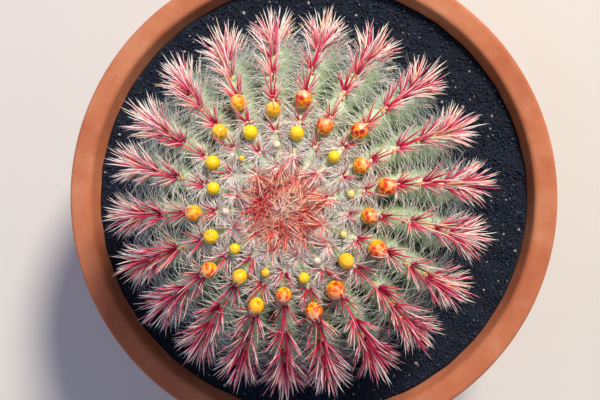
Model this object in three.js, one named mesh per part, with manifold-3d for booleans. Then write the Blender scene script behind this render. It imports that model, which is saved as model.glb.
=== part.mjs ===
// A round barrel cactus with 21 ribs, in soil and black lava gravel, in a wide plain terracotta pot.
// Millimetres, +Z up. The origin is the centre of the pot's foot, on the surface that it stands on.
import * as THREE from "three";
import { mergeVertices } from "three/addons/utils/BufferGeometryUtils.js";
import Module from "manifold-3d";

const wasm = await Module();
wasm.setup();

// ---- Driving dimensions ----
const TOUCH_GAP = 0.3; // kept between pieces that touch
const POT_SIDES = 48;
const SIDE_INSET = Math.cos(Math.PI / POT_SIDES); // the middle of a side over its corners, from the axis

const POT_HEIGHT = 300;
const POT_RIM_RADIUS = 350;
const POT_FOOT_RADIUS = 236;
const POT_WALL = 20;
const POT_FLOOR = 24;
const RIM_BAND_HEIGHT = 56;
const RIM_BAND_STEP = 11; // how far the band stands out from the wall below it
const LIP_ROUND = 6;
const FOOT_RECESS = 5; // the underside is hollowed inside the foot ring
const FOOT_RING_WIDTH = 38;
const DRAIN_RADIUS = 17;

const GRAVEL_DROP = 24; // from the rim down to the gravel
const GRAVEL_DEPTH = 18;
const GRAVEL_RELIEF = 2.2; // up and down from the level, in turn
const GRAVEL_SIDES = 80;
const GRAVEL_RINGS = 8;

const RIBS = 21;
const RIB_PHASE = 9.2; // degrees clockwise from +Y, seen from above, to the first rib
const CREST_RADIUS = 210; // at the equator
const CROWN_RISE = 185; // from the equator up to the crown
const EQUATOR_ABOVE_GRAVEL = 150;
const ROOT_DROP = 215; // from the equator down to the root end
const SQUARENESS = 2.3; // 2 is an ellipse, more is squarer at the shoulder
const CROWN_DIP = 9;
const CROWN_DIP_RADIUS = 34;
const FURROW_SHARE = 0.2; // depth of a furrow over the crest's distance from the axis
const FURROW_POWER = 1.9; // 1 is a straight flank, more is a rounder rib with a narrower furrow
// The ribs aren't quite evenly spaced, and some twist on their way down: degrees clockwise from a rib's even
// place, at the crown and at the shoulder, rib by rib.
const TURN_AT_CROWN = [
  0, -0.5, 0, 0, -0.3, 0, 1.5, 1, 1.8, 1, 0.3, -1, -1.2, -1, 0, 0.5, 2, 1.3, 1.2, 0.3, 0.8,
];
const TURN_AT_SHOULDER = [
  0, 0, 2, 3.8, 5.5, 6, 6.8, 7.5, 6.5, 5.5, 3.5, 1.5, 0, 0.5, 0, 0, 0, -1.2, -0.5, 0, 0,
];
const TWIST_ZONE = [100, 270]; // along a crest
const TAPROOT_RADIUS = 42;
const TAPROOT_TIP_RADIUS = 8;
const TAPROOT_LENGTH = 70;
const SOIL_HOLE_GAP = 2.5;
const SOIL_SIDES = POT_SIDES / 2;
const TAPROOT_SIDES = 16;

const AREOLE_PITCH = 40; // along a crest
const FIRST_AREOLE = 21; // along the crest from the crown, on the first rib
const LOWEST_AREOLE = 27; // above the gravel
const PHASE_STEP = 3 / 7; // of a pitch, from one rib to the next
// How far down each rib its areoles sit from their even places.
const AREOLE_SHIFT = [0, 0, 1, 1, 3, 4, 5, 5, 5, 2, 1, 3, 2, 5, 5, 3, 5, 1, 2, 3, 5];
const AREOLE_RADIUS = 3;
const AREOLE_RIM = 0.6; // the rim of an areole stands this far out of the crest
const AREOLE_PEAK = 3;
const AREOLE_ROOT = 9; // how deep an areole is sunk in the rib
const YOUNG_SPINE = 18;
const OLD_SPINE = 54;
const SPINE_GROWTH = [70, 200]; // along the crest: from young spines to old ones
const CROWN_TUFT = [25, 70]; // along the crest: from upright spines to spread ones
const TUFT_LEAN = 0.45; // share of the young lean
const SPREADING = [120, 280]; // along the crest: from the young lean to the old lean
const FIRST_TUFT_AREOLE = 6;
const SPINE_OVER_GRAVEL = 9;
const SPINE_OFF_BUD = 1.6;
// One areole's spines: turn round the areole from the down-rib side, lean from upright when young and when
// old, in degrees, and share of the full length.
const SPINE_FAN = [
  { turn: 0, young: 50, old: 18, share: 1 },
  { turn: 40, young: 54, old: 38, share: 0.95 },
  { turn: 110, young: 36, old: 46, share: 0.74 },
  { turn: 250, young: 36, old: 46, share: 0.74 },
  { turn: 320, young: 54, old: 38, share: 0.95 },
];

const BUD_ABOVE_AREOLE = 16; // along the crest, on the side of the crown
const BUD_LENGTH_SHARE = 1.16;
const FIRST_BUD = 68; // along the crest: the youngest buds are further out than this
// Widths of the buds on each rib, the young one by the crown first.
const BUD_WIDTHS = [
  [17, 21], [20], [14, 21], [19], [9, 22], [19], [8, 22], [18], [22], [13, 21], [19],
  [10, 19], [17.5], [13, 19], [17], [19], [15], [17], [7, 18], [17.5, 19], [9, 18],
];
const BUD_SCALES = 4; // scales round a bud

const GRAVEL_LEVEL = POT_HEIGHT - GRAVEL_DROP;
const EQUATOR = GRAVEL_LEVEL + EQUATOR_ABOVE_GRAVEL;
const ROOT_END = EQUATOR - ROOT_DROP;

// ---- Small helpers ----
const radians = THREE.MathUtils.degToRad;
const smooth = THREE.MathUtils.smoothstep;
const lerp = THREE.MathUtils.lerp;

// A seeded draw between -1 and 1, so that each build is the same.
function seededDraw(seed) {
  let state = seed;
  return () => {
    state = (state + 0x6d2b79f5) | 0;
    let t = Math.imul(state ^ (state >>> 15), 1 | state);
    t = (t + Math.imul(t ^ (t >>> 7), 61 | t)) ^ t;
    return ((t ^ (t >>> 14)) >>> 0) / 2147483648 - 1;
  };
}

function geometryOf(points, faces) {
  const geometry = new THREE.BufferGeometry();
  const coordinates = points.flatMap((point) => point.toArray());
  geometry.setAttribute("position", new THREE.Float32BufferAttribute(coordinates, 3));
  geometry.setIndex(faces.flat());
  return geometry;
}

function solidOf(geometry) {
  const bare = geometry.clone();
  bare.deleteAttribute("normal");
  bare.deleteAttribute("uv");
  const merged = mergeVertices(bare, 1e-4);
  const mesh = new wasm.Mesh({
    numProp: 3,
    vertProperties: merged.attributes.position.array,
    triVerts: new Uint32Array(merged.index.array),
  });
  return new wasm.Manifold(mesh);
}

// The largest body of a solid, as a geometry: a scrap that a cut left loose is dropped.
function geometryFromSolid(solid) {
  const bodies = solid.decompose().sort((a, b) => b.volume() - a.volume());
  const { vertProperties, triVerts } = bodies[0].getMesh();
  const geometry = new THREE.BufferGeometry();
  geometry.setAttribute("position", new THREE.BufferAttribute(vertProperties, 3));
  geometry.setIndex(new THREE.BufferAttribute(triVerts, 1));
  return geometry;
}

// A closed skin of rings between two poles: pointAt(row, column) gives each ring's points, top ring first,
// with the columns running anticlockwise seen from above.
function skinBetweenPoles(top, bottom, rings, columns, pointAt) {
  const points = [top];
  for (let row = 0; row < rings; row++)
    for (let column = 0; column < columns; column++) points.push(pointAt(row, column));
  points.push(bottom);
  const at = (row, column) => 1 + row * columns + (column % columns);
  const last = points.length - 1;
  const faces = [];
  for (let c = 0; c < columns; c++) {
    faces.push([0, at(0, c), at(0, c + 1)]);
    for (let row = 0; row + 1 < rings; row++) {
      faces.push([at(row, c), at(row + 1, c), at(row + 1, c + 1)]);
      faces.push([at(row, c), at(row + 1, c + 1), at(row, c + 1)]);
    }
    faces.push([last, at(rings - 1, c + 1), at(rings - 1, c)]);
  }
  return geometryOf(points, faces);
}

// A turned piece. The profile is (radius, height) pairs, from the bottom up along the outside; it starts
// and ends on the axis or closes on itself.
function turned(profile, sides) {
  const points = profile.map(([radius, height]) => new THREE.Vector2(radius, height));
  return new THREE.LatheGeometry(points, sides).rotateX(Math.PI / 2);
}

// ---- The crest of a rib, by its length from the crown ----
function crestAtAngle(angle) {
  const power = 2 / SQUARENESS;
  const across = CREST_RADIUS * Math.pow(Math.max(Math.sin(angle), 0), power);
  const cosine = Math.cos(angle);
  const reach = cosine > 0 ? CROWN_RISE : ROOT_DROP;
  const dip = cosine > 0 ? CROWN_DIP * Math.exp(-((across / CROWN_DIP_RADIUS) ** 2)) : 0;
  const rise = Math.sign(cosine) * reach * Math.pow(Math.abs(cosine), power);
  return new THREE.Vector2(across, EQUATOR + rise - dip);
}

const CREST_STEPS = 4000;
const crestLengths = [0];
for (let i = 1; i <= CREST_STEPS; i++) {
  const here = crestAtAngle((Math.PI * i) / CREST_STEPS);
  const before = crestAtAngle((Math.PI * (i - 1)) / CREST_STEPS);
  crestLengths.push(crestLengths[i - 1] + here.distanceTo(before));
}
const CREST_LENGTH = crestLengths[CREST_STEPS];

function crestAt(length) {
  const above = Math.max(1, crestLengths.findIndex((l) => l >= Math.min(length, CREST_LENGTH)));
  const share = (length - crestLengths[above - 1]) / (crestLengths[above] - crestLengths[above - 1]);
  return crestAtAngle((Math.PI * (above - 1 + share)) / CREST_STEPS);
}

function crestLengthAtHeight(height) {
  let length = crestLengths[CREST_STEPS / 2];
  while (crestAt(length).y > height) length += 0.5;
  return length;
}

const GRAVEL_LINE = crestLengthAtHeight(GRAVEL_LEVEL); // length of crest above the gravel

// The upright plane of an azimuth: the place on the crest there, and the directions outward from the skin,
// down the rib and across it.
function crestFrame(azimuth, length) {
  const here = crestAt(length);
  const ahead = crestAt(length + 1).sub(crestAt(Math.max(length - 1, 0))).normalize();
  const outward = new THREE.Vector3(Math.sin(azimuth), Math.cos(azimuth), 0);
  const inPlane = (across, up) => outward.clone().multiplyScalar(across).setZ(up);
  const down = inPlane(ahead.x, ahead.y);
  const out = inPlane(-ahead.y, ahead.x);
  return { place: inPlane(here.x, here.y), out, down, side: new THREE.Vector3().crossVectors(down, out) };
}

function ribAzimuth(rib, length) {
  const turn = lerp(TURN_AT_CROWN[rib], TURN_AT_SHOULDER[rib], smooth(length, ...TWIST_ZONE));
  return radians(RIB_PHASE + (360 / RIBS) * rib + turn);
}

const areoleLength = (rib, turn) =>
  FIRST_AREOLE + AREOLE_PITCH * (turn + ((PHASE_STEP * rib) % 1)) + AREOLE_SHIFT[rib];

// ---- The ribbed stem ----
const COLUMNS_PER_RIB = 4;
const ROWS_ABOVE_GRAVEL = 12;
const ROWS_BELOW_GRAVEL = 2;

// Furrow depth at a length of crest, shallower towards the corky base.
function furrowDepth(length) {
  const towardsBase = smooth(length, GRAVEL_LINE - 90, GRAVEL_LINE + 60);
  return FURROW_SHARE * crestAt(length).x * lerp(1, 0.25, towardsBase);
}

// The azimuth of a column of the skin: the columns run anticlockwise from rib 0, and each rib's are spread
// between its crest and the next one's.
function columnAzimuth(column, length) {
  const rib = (RIBS - Math.floor(column / COLUMNS_PER_RIB)) % RIBS;
  const next = (rib + RIBS - 1) % RIBS;
  const here = ribAzimuth(rib, length);
  const gap = (here - ribAzimuth(next, length) + 2 * Math.PI) % (2 * Math.PI);
  return here - (gap * (column % COLUMNS_PER_RIB)) / COLUMNS_PER_RIB;
}

// The stem's skin, swollen by the given amount.
function ribbedSkin(swell) {
  const columns = RIBS * COLUMNS_PER_RIB;
  const rings = ROWS_ABOVE_GRAVEL + ROWS_BELOW_GRAVEL;
  const lengthOf = (row) =>
    row < ROWS_ABOVE_GRAVEL
      ? (GRAVEL_LINE * (row + 0.7)) / (ROWS_ABOVE_GRAVEL - 0.3)
      : lerp(GRAVEL_LINE, CREST_LENGTH, (row - ROWS_ABOVE_GRAVEL + 1) / (ROWS_BELOW_GRAVEL + 1));
  const pointAt = (row, column) => {
    const length = lengthOf(row);
    const fromCrest = Math.abs((((column / COLUMNS_PER_RIB + 0.5) % 1) - 0.5) * 2);
    const frame = crestFrame(columnAzimuth(column, length), length);
    const sunk = furrowDepth(length) * Math.pow(fromCrest, FURROW_POWER);
    return frame.place.addScaledVector(frame.out, swell - sunk);
  };
  const crown = new THREE.Vector3(0, 0, crestAt(0).y + swell);
  const root = new THREE.Vector3(0, 0, crestAt(CREST_LENGTH).y - swell);
  return skinBetweenPoles(crown, root, rings, columns, pointAt);
}

function taprootGeometry() {
  const tip = ROOT_END - TAPROOT_LENGTH;
  const profile = [
    [0, tip],
    [TAPROOT_TIP_RADIUS, tip],
    [TAPROOT_RADIUS, ROOT_END],
    [TAPROOT_RADIUS, ROOT_END + 15],
    [0, ROOT_END + 15],
  ];
  return turned(profile, TAPROOT_SIDES);
}

// ---- Buds: one on the crown side of each areole in the bud zone ----
function budsOfRib(rib) {
  let turn = -1;
  while (areoleLength(rib, turn) - BUD_ABOVE_AREOLE < FIRST_BUD) turn++;
  return BUD_WIDTHS[rib].map((diameter, i) => {
    const length = areoleLength(rib, turn + i) - BUD_ABOVE_AREOLE;
    const tall = diameter * BUD_LENGTH_SHARE;
    const frame = crestFrame(ribAzimuth(rib, length), length);
    const centre = frame.place.clone().addScaledVector(frame.out, tall / 2 + TOUCH_GAP);
    return { frame, centre, diameter, tall };
  });
}

// An egg with rows of raised scales, each row half a scale round from the last.
function budGeometry({ frame, centre, diameter, tall }) {
  const rings = 4;
  const columns = 2 * BUD_SCALES;
  const along = (share) => centre.clone().addScaledVector(frame.out, tall * (share - 0.5));
  const pointAt = (row, column) => {
    const angle = (Math.PI * (row + 1)) / (rings + 1);
    const turn = (2 * Math.PI * (column + 0.5 * (row % 2))) / columns;
    const raised = 1 + 0.05 * Math.cos(BUD_SCALES * turn + Math.PI * (row % 2));
    const radius = (diameter / 2) * Math.pow(Math.sin(angle), 0.85) * raised;
    return along((1 + Math.cos(angle)) / 2)
      .addScaledVector(frame.down, radius * Math.cos(turn))
      .addScaledVector(frame.side, -radius * Math.sin(turn));
  };
  return skinBetweenPoles(along(1), along(0), rings, columns, pointAt);
}

const buds = [];
for (let rib = 0; rib < RIBS; rib++) buds.push(...budsOfRib(rib));

// ---- Spines: an areole is a low six-sided cone, and each of its sides is drawn out into one spine ----
const draw = seededDraw(21);

// Moves a spine's tip until the spine clears every bud, at the same length.
function clearOfBuds(root, tip) {
  const length = root.distanceTo(tip);
  const spine = new THREE.Line3(root, tip);
  const near = new THREE.Vector3();
  for (let pass = 0; pass < 6; pass++)
    for (const bud of buds) {
      const share = Math.max(0.2, spine.closestPointToPointParameter(bud.centre, true));
      spine.at(share, near);
      const short = bud.tall / 2 + SPINE_OFF_BUD - near.distanceTo(bud.centre);
      if (short <= 0) continue;
      const push = near.sub(bud.centre).normalize();
      spine.end.addScaledVector(push, (1.1 * short) / share);
      spine.end.sub(root).setLength(length).add(root);
    }
  return spine.end;
}

// Lifts a spine's tip clear of the gravel, at the same length.
function clearOfGravel(root, tip) {
  const lowest = GRAVEL_LEVEL + SPINE_OVER_GRAVEL;
  if (tip.z >= lowest) return tip;
  const length = root.distanceTo(tip);
  const level = new THREE.Vector3(tip.x - root.x, tip.y - root.y, 0);
  level.setLength(Math.sqrt(Math.max(0, length ** 2 - (lowest - root.z) ** 2)));
  return new THREE.Vector3(root.x + level.x, root.y + level.y, lowest);
}

function spineTip(frame, length, { turn, young, old, share }) {
  const upright = lerp(TUFT_LEAN, 1, smooth(length, ...CROWN_TUFT));
  const leaning = radians(upright * lerp(young, old, smooth(length, ...SPREADING)) + 6 * draw());
  const turning = radians(turn + 8 * draw());
  const reach = lerp(YOUNG_SPINE, OLD_SPINE, smooth(length, ...SPINE_GROWTH)) * share * (1 + 0.1 * draw());
  const tip = frame.place
    .clone()
    .addScaledVector(frame.out, reach * Math.cos(leaning))
    .addScaledVector(frame.down, reach * Math.sin(leaning) * Math.cos(turning))
    .addScaledVector(frame.side, reach * Math.sin(leaning) * Math.sin(turning));
  return clearOfGravel(frame.place, clearOfBuds(frame.place, tip));
}

function areoleWithSpines(rib, length) {
  const frame = crestFrame(ribAzimuth(rib, length), length);
  const count = SPINE_FAN.length;
  const rim = SPINE_FAN.map((spine, i) => {
    const before = SPINE_FAN[(i + count - 1) % count];
    const gap = (spine.turn - before.turn + 360) % 360;
    const between = radians(spine.turn - gap / 2);
    return frame.place
      .clone()
      .addScaledVector(frame.out, AREOLE_RIM)
      .addScaledVector(frame.down, AREOLE_RADIUS * Math.cos(between))
      .addScaledVector(frame.side, AREOLE_RADIUS * Math.sin(between));
  });
  const peak = frame.place.clone().addScaledVector(frame.out, AREOLE_PEAK);
  const underside = frame.place.clone().addScaledVector(frame.out, -AREOLE_ROOT);
  const tips = SPINE_FAN.map((spine) => spineTip(frame, length, spine));
  const faces = [];
  for (let i = 0; i < count; i++) {
    const next = (i + 1) % count;
    const tip = count + 2 + i;
    faces.push([i, tip, next], [next, tip, count], [count, tip, i], [i, next, count + 1]);
  }
  return geometryOf([...rim, peak, underside, ...tips], faces);
}

function spinyStem() {
  const areoles = [];
  for (let rib = 0; rib < RIBS; rib++)
    for (let turn = -1; ; turn++) {
      const length = areoleLength(rib, turn);
      if (crestAt(length).y < GRAVEL_LEVEL + LOWEST_AREOLE && length > GRAVEL_LINE / 2) break;
      if (length > FIRST_TUFT_AREOLE) areoles.push(solidOf(areoleWithSpines(rib, length)));
    }
  const bare = solidOf(ribbedSkin(0)).add(solidOf(taprootGeometry()));
  return geometryFromSolid(wasm.Manifold.union([bare, ...areoles]));
}

// ---- The pot and what fills it ----
const wallAt = (height) => {
  const top = POT_RIM_RADIUS - RIM_BAND_STEP;
  return lerp(POT_FOOT_RADIUS, top, height / POT_HEIGHT);
};
const insideAt = (height) => wallAt(height) - POT_WALL;

function potGeometry() {
  const band = POT_HEIGHT - RIM_BAND_HEIGHT;
  const ring = POT_FOOT_RADIUS - FOOT_RING_WIDTH;
  const lip = POT_HEIGHT - LIP_ROUND;
  const profile = [
    [DRAIN_RADIUS, FOOT_RECESS],
    [ring - 4, FOOT_RECESS],
    [ring, 0],
    [POT_FOOT_RADIUS - 4, 0],
    [wallAt(4), 4],
    [wallAt(band), band],
    [POT_RIM_RADIUS - 3, band + 2],
    [POT_RIM_RADIUS, band + LIP_ROUND],
    [POT_RIM_RADIUS, lip],
    [POT_RIM_RADIUS - LIP_ROUND, POT_HEIGHT],
    [insideAt(POT_HEIGHT) + LIP_ROUND, POT_HEIGHT],
    [insideAt(lip), lip],
    [insideAt(POT_FLOOR), POT_FLOOR],
    [DRAIN_RADIUS, POT_FLOOR],
    [DRAIN_RADIUS, FOOT_RECESS],
  ];
  return turned(profile, POT_SIDES);
}

// Soil with a plain round hole for the buried end of the stem and its root.
function soilGeometry() {
  const foot = POT_FLOOR + TOUCH_GAP;
  const top = GRAVEL_LEVEL - GRAVEL_DEPTH - TOUCH_GAP;
  const hole = [];
  for (let height = top; height > ROOT_END + 8; height -= (top - ROOT_END) / 4) {
    hole.push([crestAt(crestLengthAtHeight(height)).x + SOIL_HOLE_GAP, height]);
  }
  const sole = ROOT_END - TAPROOT_LENGTH - 2 * TOUCH_GAP;
  const profile = [
    [0, foot],
    [insideAt(foot) - TOUCH_GAP, foot],
    [insideAt(top) - TOUCH_GAP, top],
    ...hole,
    [TAPROOT_RADIUS + SOIL_HOLE_GAP, ROOT_END - SOIL_HOLE_GAP],
    [TAPROOT_TIP_RADIUS + SOIL_HOLE_GAP, sole],
    [0, sole],
  ];
  return turned(profile, SOIL_SIDES);
}

// A round bed of gravel: each point of its top is raised or sunk in turn, as coarse stones lie.
function gravelGeometry() {
  const foot = GRAVEL_LEVEL - GRAVEL_DEPTH;
  const inner = crestAt(GRAVEL_LINE).x * 0.7;
  const wallSide = (height) => insideAt(height) * SIDE_INSET - TOUCH_GAP;
  const pointAt = (row, column) => {
    const azimuth = (2 * Math.PI * column) / GRAVEL_SIDES;
    const raised = (row + column) % 2 === 0 ? GRAVEL_RELIEF : -GRAVEL_RELIEF;
    const height = row === GRAVEL_RINGS ? foot : GRAVEL_LEVEL + raised * Math.cos(9 * azimuth + 2 * row);
    const share = Math.min(row / (GRAVEL_RINGS - 1), 1);
    const radius = lerp(inner, wallSide(height), share);
    return new THREE.Vector3(radius * Math.cos(azimuth), radius * Math.sin(azimuth), height);
  };
  const top = new THREE.Vector3(0, 0, GRAVEL_LEVEL);
  const bottom = new THREE.Vector3(0, 0, foot);
  const bed = skinBetweenPoles(top, bottom, GRAVEL_RINGS + 1, GRAVEL_SIDES, pointAt);
  return geometryFromSolid(solidOf(bed).subtract(solidOf(ribbedSkin(2 * TOUCH_GAP))));
}

// ---- Materials and the finished group ----
const terracotta = new THREE.MeshStandardMaterial({ color: 0xb4694a, roughness: 0.9, metalness: 0 });
const pottingSoil = new THREE.MeshStandardMaterial({ color: 0x3a2a20, roughness: 1, metalness: 0 });
const lavaGravel = new THREE.MeshStandardMaterial({ color: 0x23262e, roughness: 0.95, metalness: 0 });
const cactusSkin = new THREE.MeshStandardMaterial({ color: 0x9fb08e, roughness: 0.6, metalness: 0 });
const budSkin = new THREE.MeshStandardMaterial({ color: 0xf2b51c, roughness: 0.4, metalness: 0 });

function piece(name, geometry, material) {
  const mesh = new THREE.Mesh(geometry, material);
  mesh.name = name;
  return mesh;
}

const pottedCactus = new THREE.Group();
pottedCactus.name = "potted_round_cactus";
pottedCactus.add(piece("pot", potGeometry(), terracotta));
pottedCactus.add(piece("potting_soil", soilGeometry(), pottingSoil));
pottedCactus.add(piece("lava_gravel", gravelGeometry(), lavaGravel));
pottedCactus.add(piece("cactus_stem", spinyStem(), cactusSkin));
buds.forEach((bud, i) => {
  const number = String(i + 1).padStart(2, "0");
  pottedCactus.add(piece(`flower_bud_${number}`, budGeometry(bud), budSkin));
});

export default pottedCactus;
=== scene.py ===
"""A round barrel cactus with red spines and yellow flower buds, in black lava gravel, in a terracotta bowl.

Shapes are worked out in millimetres and put into their meshes in metres, in the frame's own axes: +Z up
the axis of the plant, +Y the top and +X the right of the view from above.
"""

import math

import bpy
import numpy as np
from mathutils import Matrix, Vector


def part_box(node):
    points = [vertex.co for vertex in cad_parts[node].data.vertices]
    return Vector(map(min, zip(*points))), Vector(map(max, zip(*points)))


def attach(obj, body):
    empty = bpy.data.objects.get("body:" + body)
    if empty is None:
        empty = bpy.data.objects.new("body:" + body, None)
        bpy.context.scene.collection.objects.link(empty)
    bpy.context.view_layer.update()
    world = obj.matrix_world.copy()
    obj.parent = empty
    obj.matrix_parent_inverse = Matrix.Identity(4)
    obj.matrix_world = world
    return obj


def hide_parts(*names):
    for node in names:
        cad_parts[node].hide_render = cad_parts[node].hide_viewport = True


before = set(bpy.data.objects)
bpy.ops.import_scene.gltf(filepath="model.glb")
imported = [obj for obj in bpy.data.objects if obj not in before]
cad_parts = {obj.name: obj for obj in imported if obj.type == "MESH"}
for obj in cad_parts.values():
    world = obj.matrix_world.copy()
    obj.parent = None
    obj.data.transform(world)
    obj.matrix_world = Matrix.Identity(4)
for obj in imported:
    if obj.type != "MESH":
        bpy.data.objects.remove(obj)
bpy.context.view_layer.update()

MM = 0.001
SEED = 21

# ---- Sizes, in millimetres. What the frame holds is read from it ----
POT_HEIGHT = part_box("pot")[1].z / MM
POT_RIM_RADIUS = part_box("pot")[1].x / MM
POT_FOOT_RADIUS = 236
POT_WALL = 20
POT_FLOOR = 24
RIM_BAND_HEIGHT = 56
RIM_BAND_STEP = 11  # how far the band stands out from the wall below it
FOOT_RECESS = 5  # the underside is hollowed inside the foot ring
FOOT_RING_WIDTH = 38
DRAIN_RADIUS = 17

GRAVEL_DEPTH = 18
GRAVEL_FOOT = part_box("lava_gravel")[0].z / MM
GRAVEL_LEVEL = GRAVEL_FOOT + GRAVEL_DEPTH
GRAVEL_RELIEF = 2.2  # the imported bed's corners are raised and sunk by this in turn
GRAVEL_SIDES = 80
GRAVEL_RINGS = 8
BED_INNER_SHARE = 0.7  # the bed starts under the stem, at this share of the crest's distance from the axis
BED_OFF_WALL = 0.8
BED_UNDER_STONES = 0.3  # how far the bed lies under the height that the stones lie on
STONE_PITCH = 4.0
STONE_RADIUS = (1.3, 3.0)
STONE_JITTER = 0.42  # of the pitch
STONE_RISE = (-0.1, 0.5)  # of a stone's middle over the bed, as a share of its radius
STONE_OFF_WALL = 3.6
STONES_UNDER_STEM = 8  # how far they reach in past the crests, into the furrows
STONE_SIZES = (1.42, 1.85)  # the radii that part small, middle and large stones

RIBS = 21
RIB_PHASE = 9.2  # degrees clockwise from +Y, seen from above, to the first rib
CREST_RADIUS = 210  # at the equator
CROWN_RISE = 185  # from the equator up to the crown
EQUATOR = GRAVEL_LEVEL + 150
ROOT_DROP = 215  # from the equator down to the root end
SQUARENESS = 2.3  # 2 is an ellipse, more is squarer at the shoulder
CROWN_DIP = 9
CROWN_DIP_RADIUS = 34
FURROW_SHARE = 0.2  # depth of a furrow over the crest's distance from the axis
FURROW_POWER = 1.9  # 1 is a straight flank, more is a rounder rib with a narrower furrow
CREST_NOTCH = 2.6  # how far the crest sinks between two areoles
AREOLE_SWELL = 1.4  # how far the rib swells beside an areole
SKIN_RELIEF = 0.7
SKIN_RELIEF_SIZE = 36
CREST_STEPS = 4000  # in the table of the crest's places
ROOT_END = EQUATOR - ROOT_DROP
TAPROOT_RADIUS = 42
TAPROOT_TIP_RADIUS = 8
TAPROOT_LENGTH = 70
# Degrees clockwise from a rib's even place, at the crown and at the shoulder, rib by rib.
TURN_AT_CROWN = (0, -0.5, 0, 0, -0.3, 0, 1.5, 1, 1.8, 1, 0.3, -1, -1.2, -1, 0, 0.5, 2, 1.3, 1.2, 0.3, 0.8)
TURN_AT_SHOULDER = (0, 0, 2, 3.8, 5.5, 6, 6.8, 7.5, 6.5, 5.5, 3.5, 1.5, 0, 0.5, 0, 0, 0, -1.2, -0.5, 0, 0)
TWIST_ZONE = (100, 270)  # along a crest, from the crown's turn to the shoulder's

# Areoles, spines and buds. "Along the crest" is counted from the crown.
AREOLE_PITCH = 40
FIRST_AREOLE = 21  # along the crest, on the first rib
NEAREST_AREOLE = 6  # along the crest: none is nearer the crown
LOWEST_AREOLE = 27  # above the gravel: none is lower
PHASE_STEP = 3 / 7  # of a pitch, from rib to rib
# How far down each rib its areoles sit from their even places.
AREOLE_SHIFT = (0, 0, 1, 1, 3, 4, 5, 5, 5, 2, 1, 3, 2, 5, 5, 3, 5, 1, 2, 3, 5)
YOUNG_SPINE = 22
OLD_SPINE = 54
SPINE_GROWTH = (50, 165)  # along the crest: from young spines to old ones
SIDE_SPINE_GROWTH = (90, 250)
SPREADING = (120, 280)  # along the crest: from the young lean to the old lean
THICKENING = (50, 170)  # along the crest: from thin spines to stout ones
AGEING = (100, 250)  # along the crest: from the young colours to the old ones
SPINE_LENGTHS = (0.78, 1.12)  # the shortest and the longest of a kind, over its own length
SPINE_OFF_AXIS = 1.7  # from an areole's middle to a spine's root
SPINE_ROOT_DEPTH = 0.8
SPINE_BEND = 0.025  # of its length
SPINE_BOW = 0.03  # of its length, outwards
SPINE_OFF_BUD = 2.2
SPINE_OVER_GRAVEL = 9
# Sides of the plant, in degrees clockwise from +Y.
SHADED_RED_SIDE = 165  # where the spines are reddest, a painted shade on the shaded lower side
SHADED_RED_SHARE = 0.12  # of the tint
SKYLIT_PALE_SIDE = 268  # where they are palest, painted light from the sky on the left side
SKYLIT_PALE_SHARE = 0.2  # of the tint
HAIRY_SIDE = 5  # where the bristles on the flanks are the densest
LONG_SIDE = 215  # where the side spines grow long the soonest
LONG_SIDE_LEAD = 60  # along the crest
TUFT_RADIUS = 40  # of the bundles inside the first areoles
# Centre and radius of each crimson patch on the crown.
CRIMSON_PATCHES = ((-27, -1, 13), (-13, 36, 7), (5, -17, 10), (-24, 18, 8), (24, -16, 8))

# One areole's spines: turn from the down-rib side, lean from upright when young and when old (degrees),
# share of the full length, and radius at the root (millimetres).
SPINE_FAN = (
    (0, 62, 20, 1.00, 1.60),
    (18, 60, 25, 1.00, 1.35),
    (-18, 60, 25, 1.00, 1.35),
    (38, 56, 38, 0.95, 1.30),
    (-38, 56, 38, 0.95, 1.30),
    (60, 52, 46, 0.84, 1.20),
    (-60, 52, 46, 0.84, 1.20),
    (4, 72, 44, 0.82, 1.30),
    (84, 40, 48, 0.72, 1.05),
    (-84, 40, 48, 0.72, 1.05),
    (126, 26, 36, 0.60, 1.00),
    (-126, 26, 36, 0.60, 1.00),
    (180, 46, 13, 0.86, 1.30),
)
# Spines that lean over the crown: turn and lean in degrees, and share of the length.
CROWN_FAN = (
    (180, 60, 1.00),
    (164, 52, 1.00),
    (-164, 52, 1.00),
    (148, 60, 0.90),
    (-148, 60, 0.90),
    (172, 34, 0.85),
    (-176, 46, 0.90),
    (105, 52, 0.55),
    (-105, 52, 0.55),
    (40, 54, 0.60),
    (-30, 60, 0.60),
)
CROWN_AREOLES = 66  # along the crest: up to here spines lean inwards
CORAL_AREOLES = 56  # along the crest: up to here they are coral
FULL_FANS = 125  # along the crest: beyond here an areole has two fans beside it
CROWN_SPINE = 32
CROWN_BUNDLES = 60
BUNDLE_SPINES = 7
BUNDLE_LENGTH = 30
CROWN_BRISTLES = 900
CROWN_BRISTLE = 16
CROWN_WOOL_RADIUS = 8  # kept clear by the spines that lean inwards
GOLDEN_ANGLE = np.pi * (3 - math.sqrt(5))  # radians; steps of it never line up
AREOLE_FELT = (3.7, 2.9, 2.3)  # half a pad's size down the rib, across it and outwards

BRISTLE_OVER_GRAVEL = 4
BRISTLE_OFF_BUD = 1.5
BRISTLE_PIECES = 4

BUD_ABOVE_AREOLE = 16  # along the crest, on the side of the crown
BUD_LENGTH_SHARE = 1.14
BUD_SEAT = 1.0  # how deep a bud's base sits in the wool of its areole
FIRST_BUD = 68  # along the crest: the youngest buds are further out than this
WOOLLY_BUD = 11  # a bud narrower than this has wool round its base
# Widths of the buds on each rib, the young one by the crown first.
BUD_WIDTHS = (
    (17, 21), (20,), (14, 21), (19,), (9, 22), (19,), (8, 22), (18,), (22,), (13, 21), (19,),
    (10, 19), (17.5,), (13, 19), (17,), (19,), (15,), (17,), (7, 18), (17.5, 19), (9, 18),
)
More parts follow.
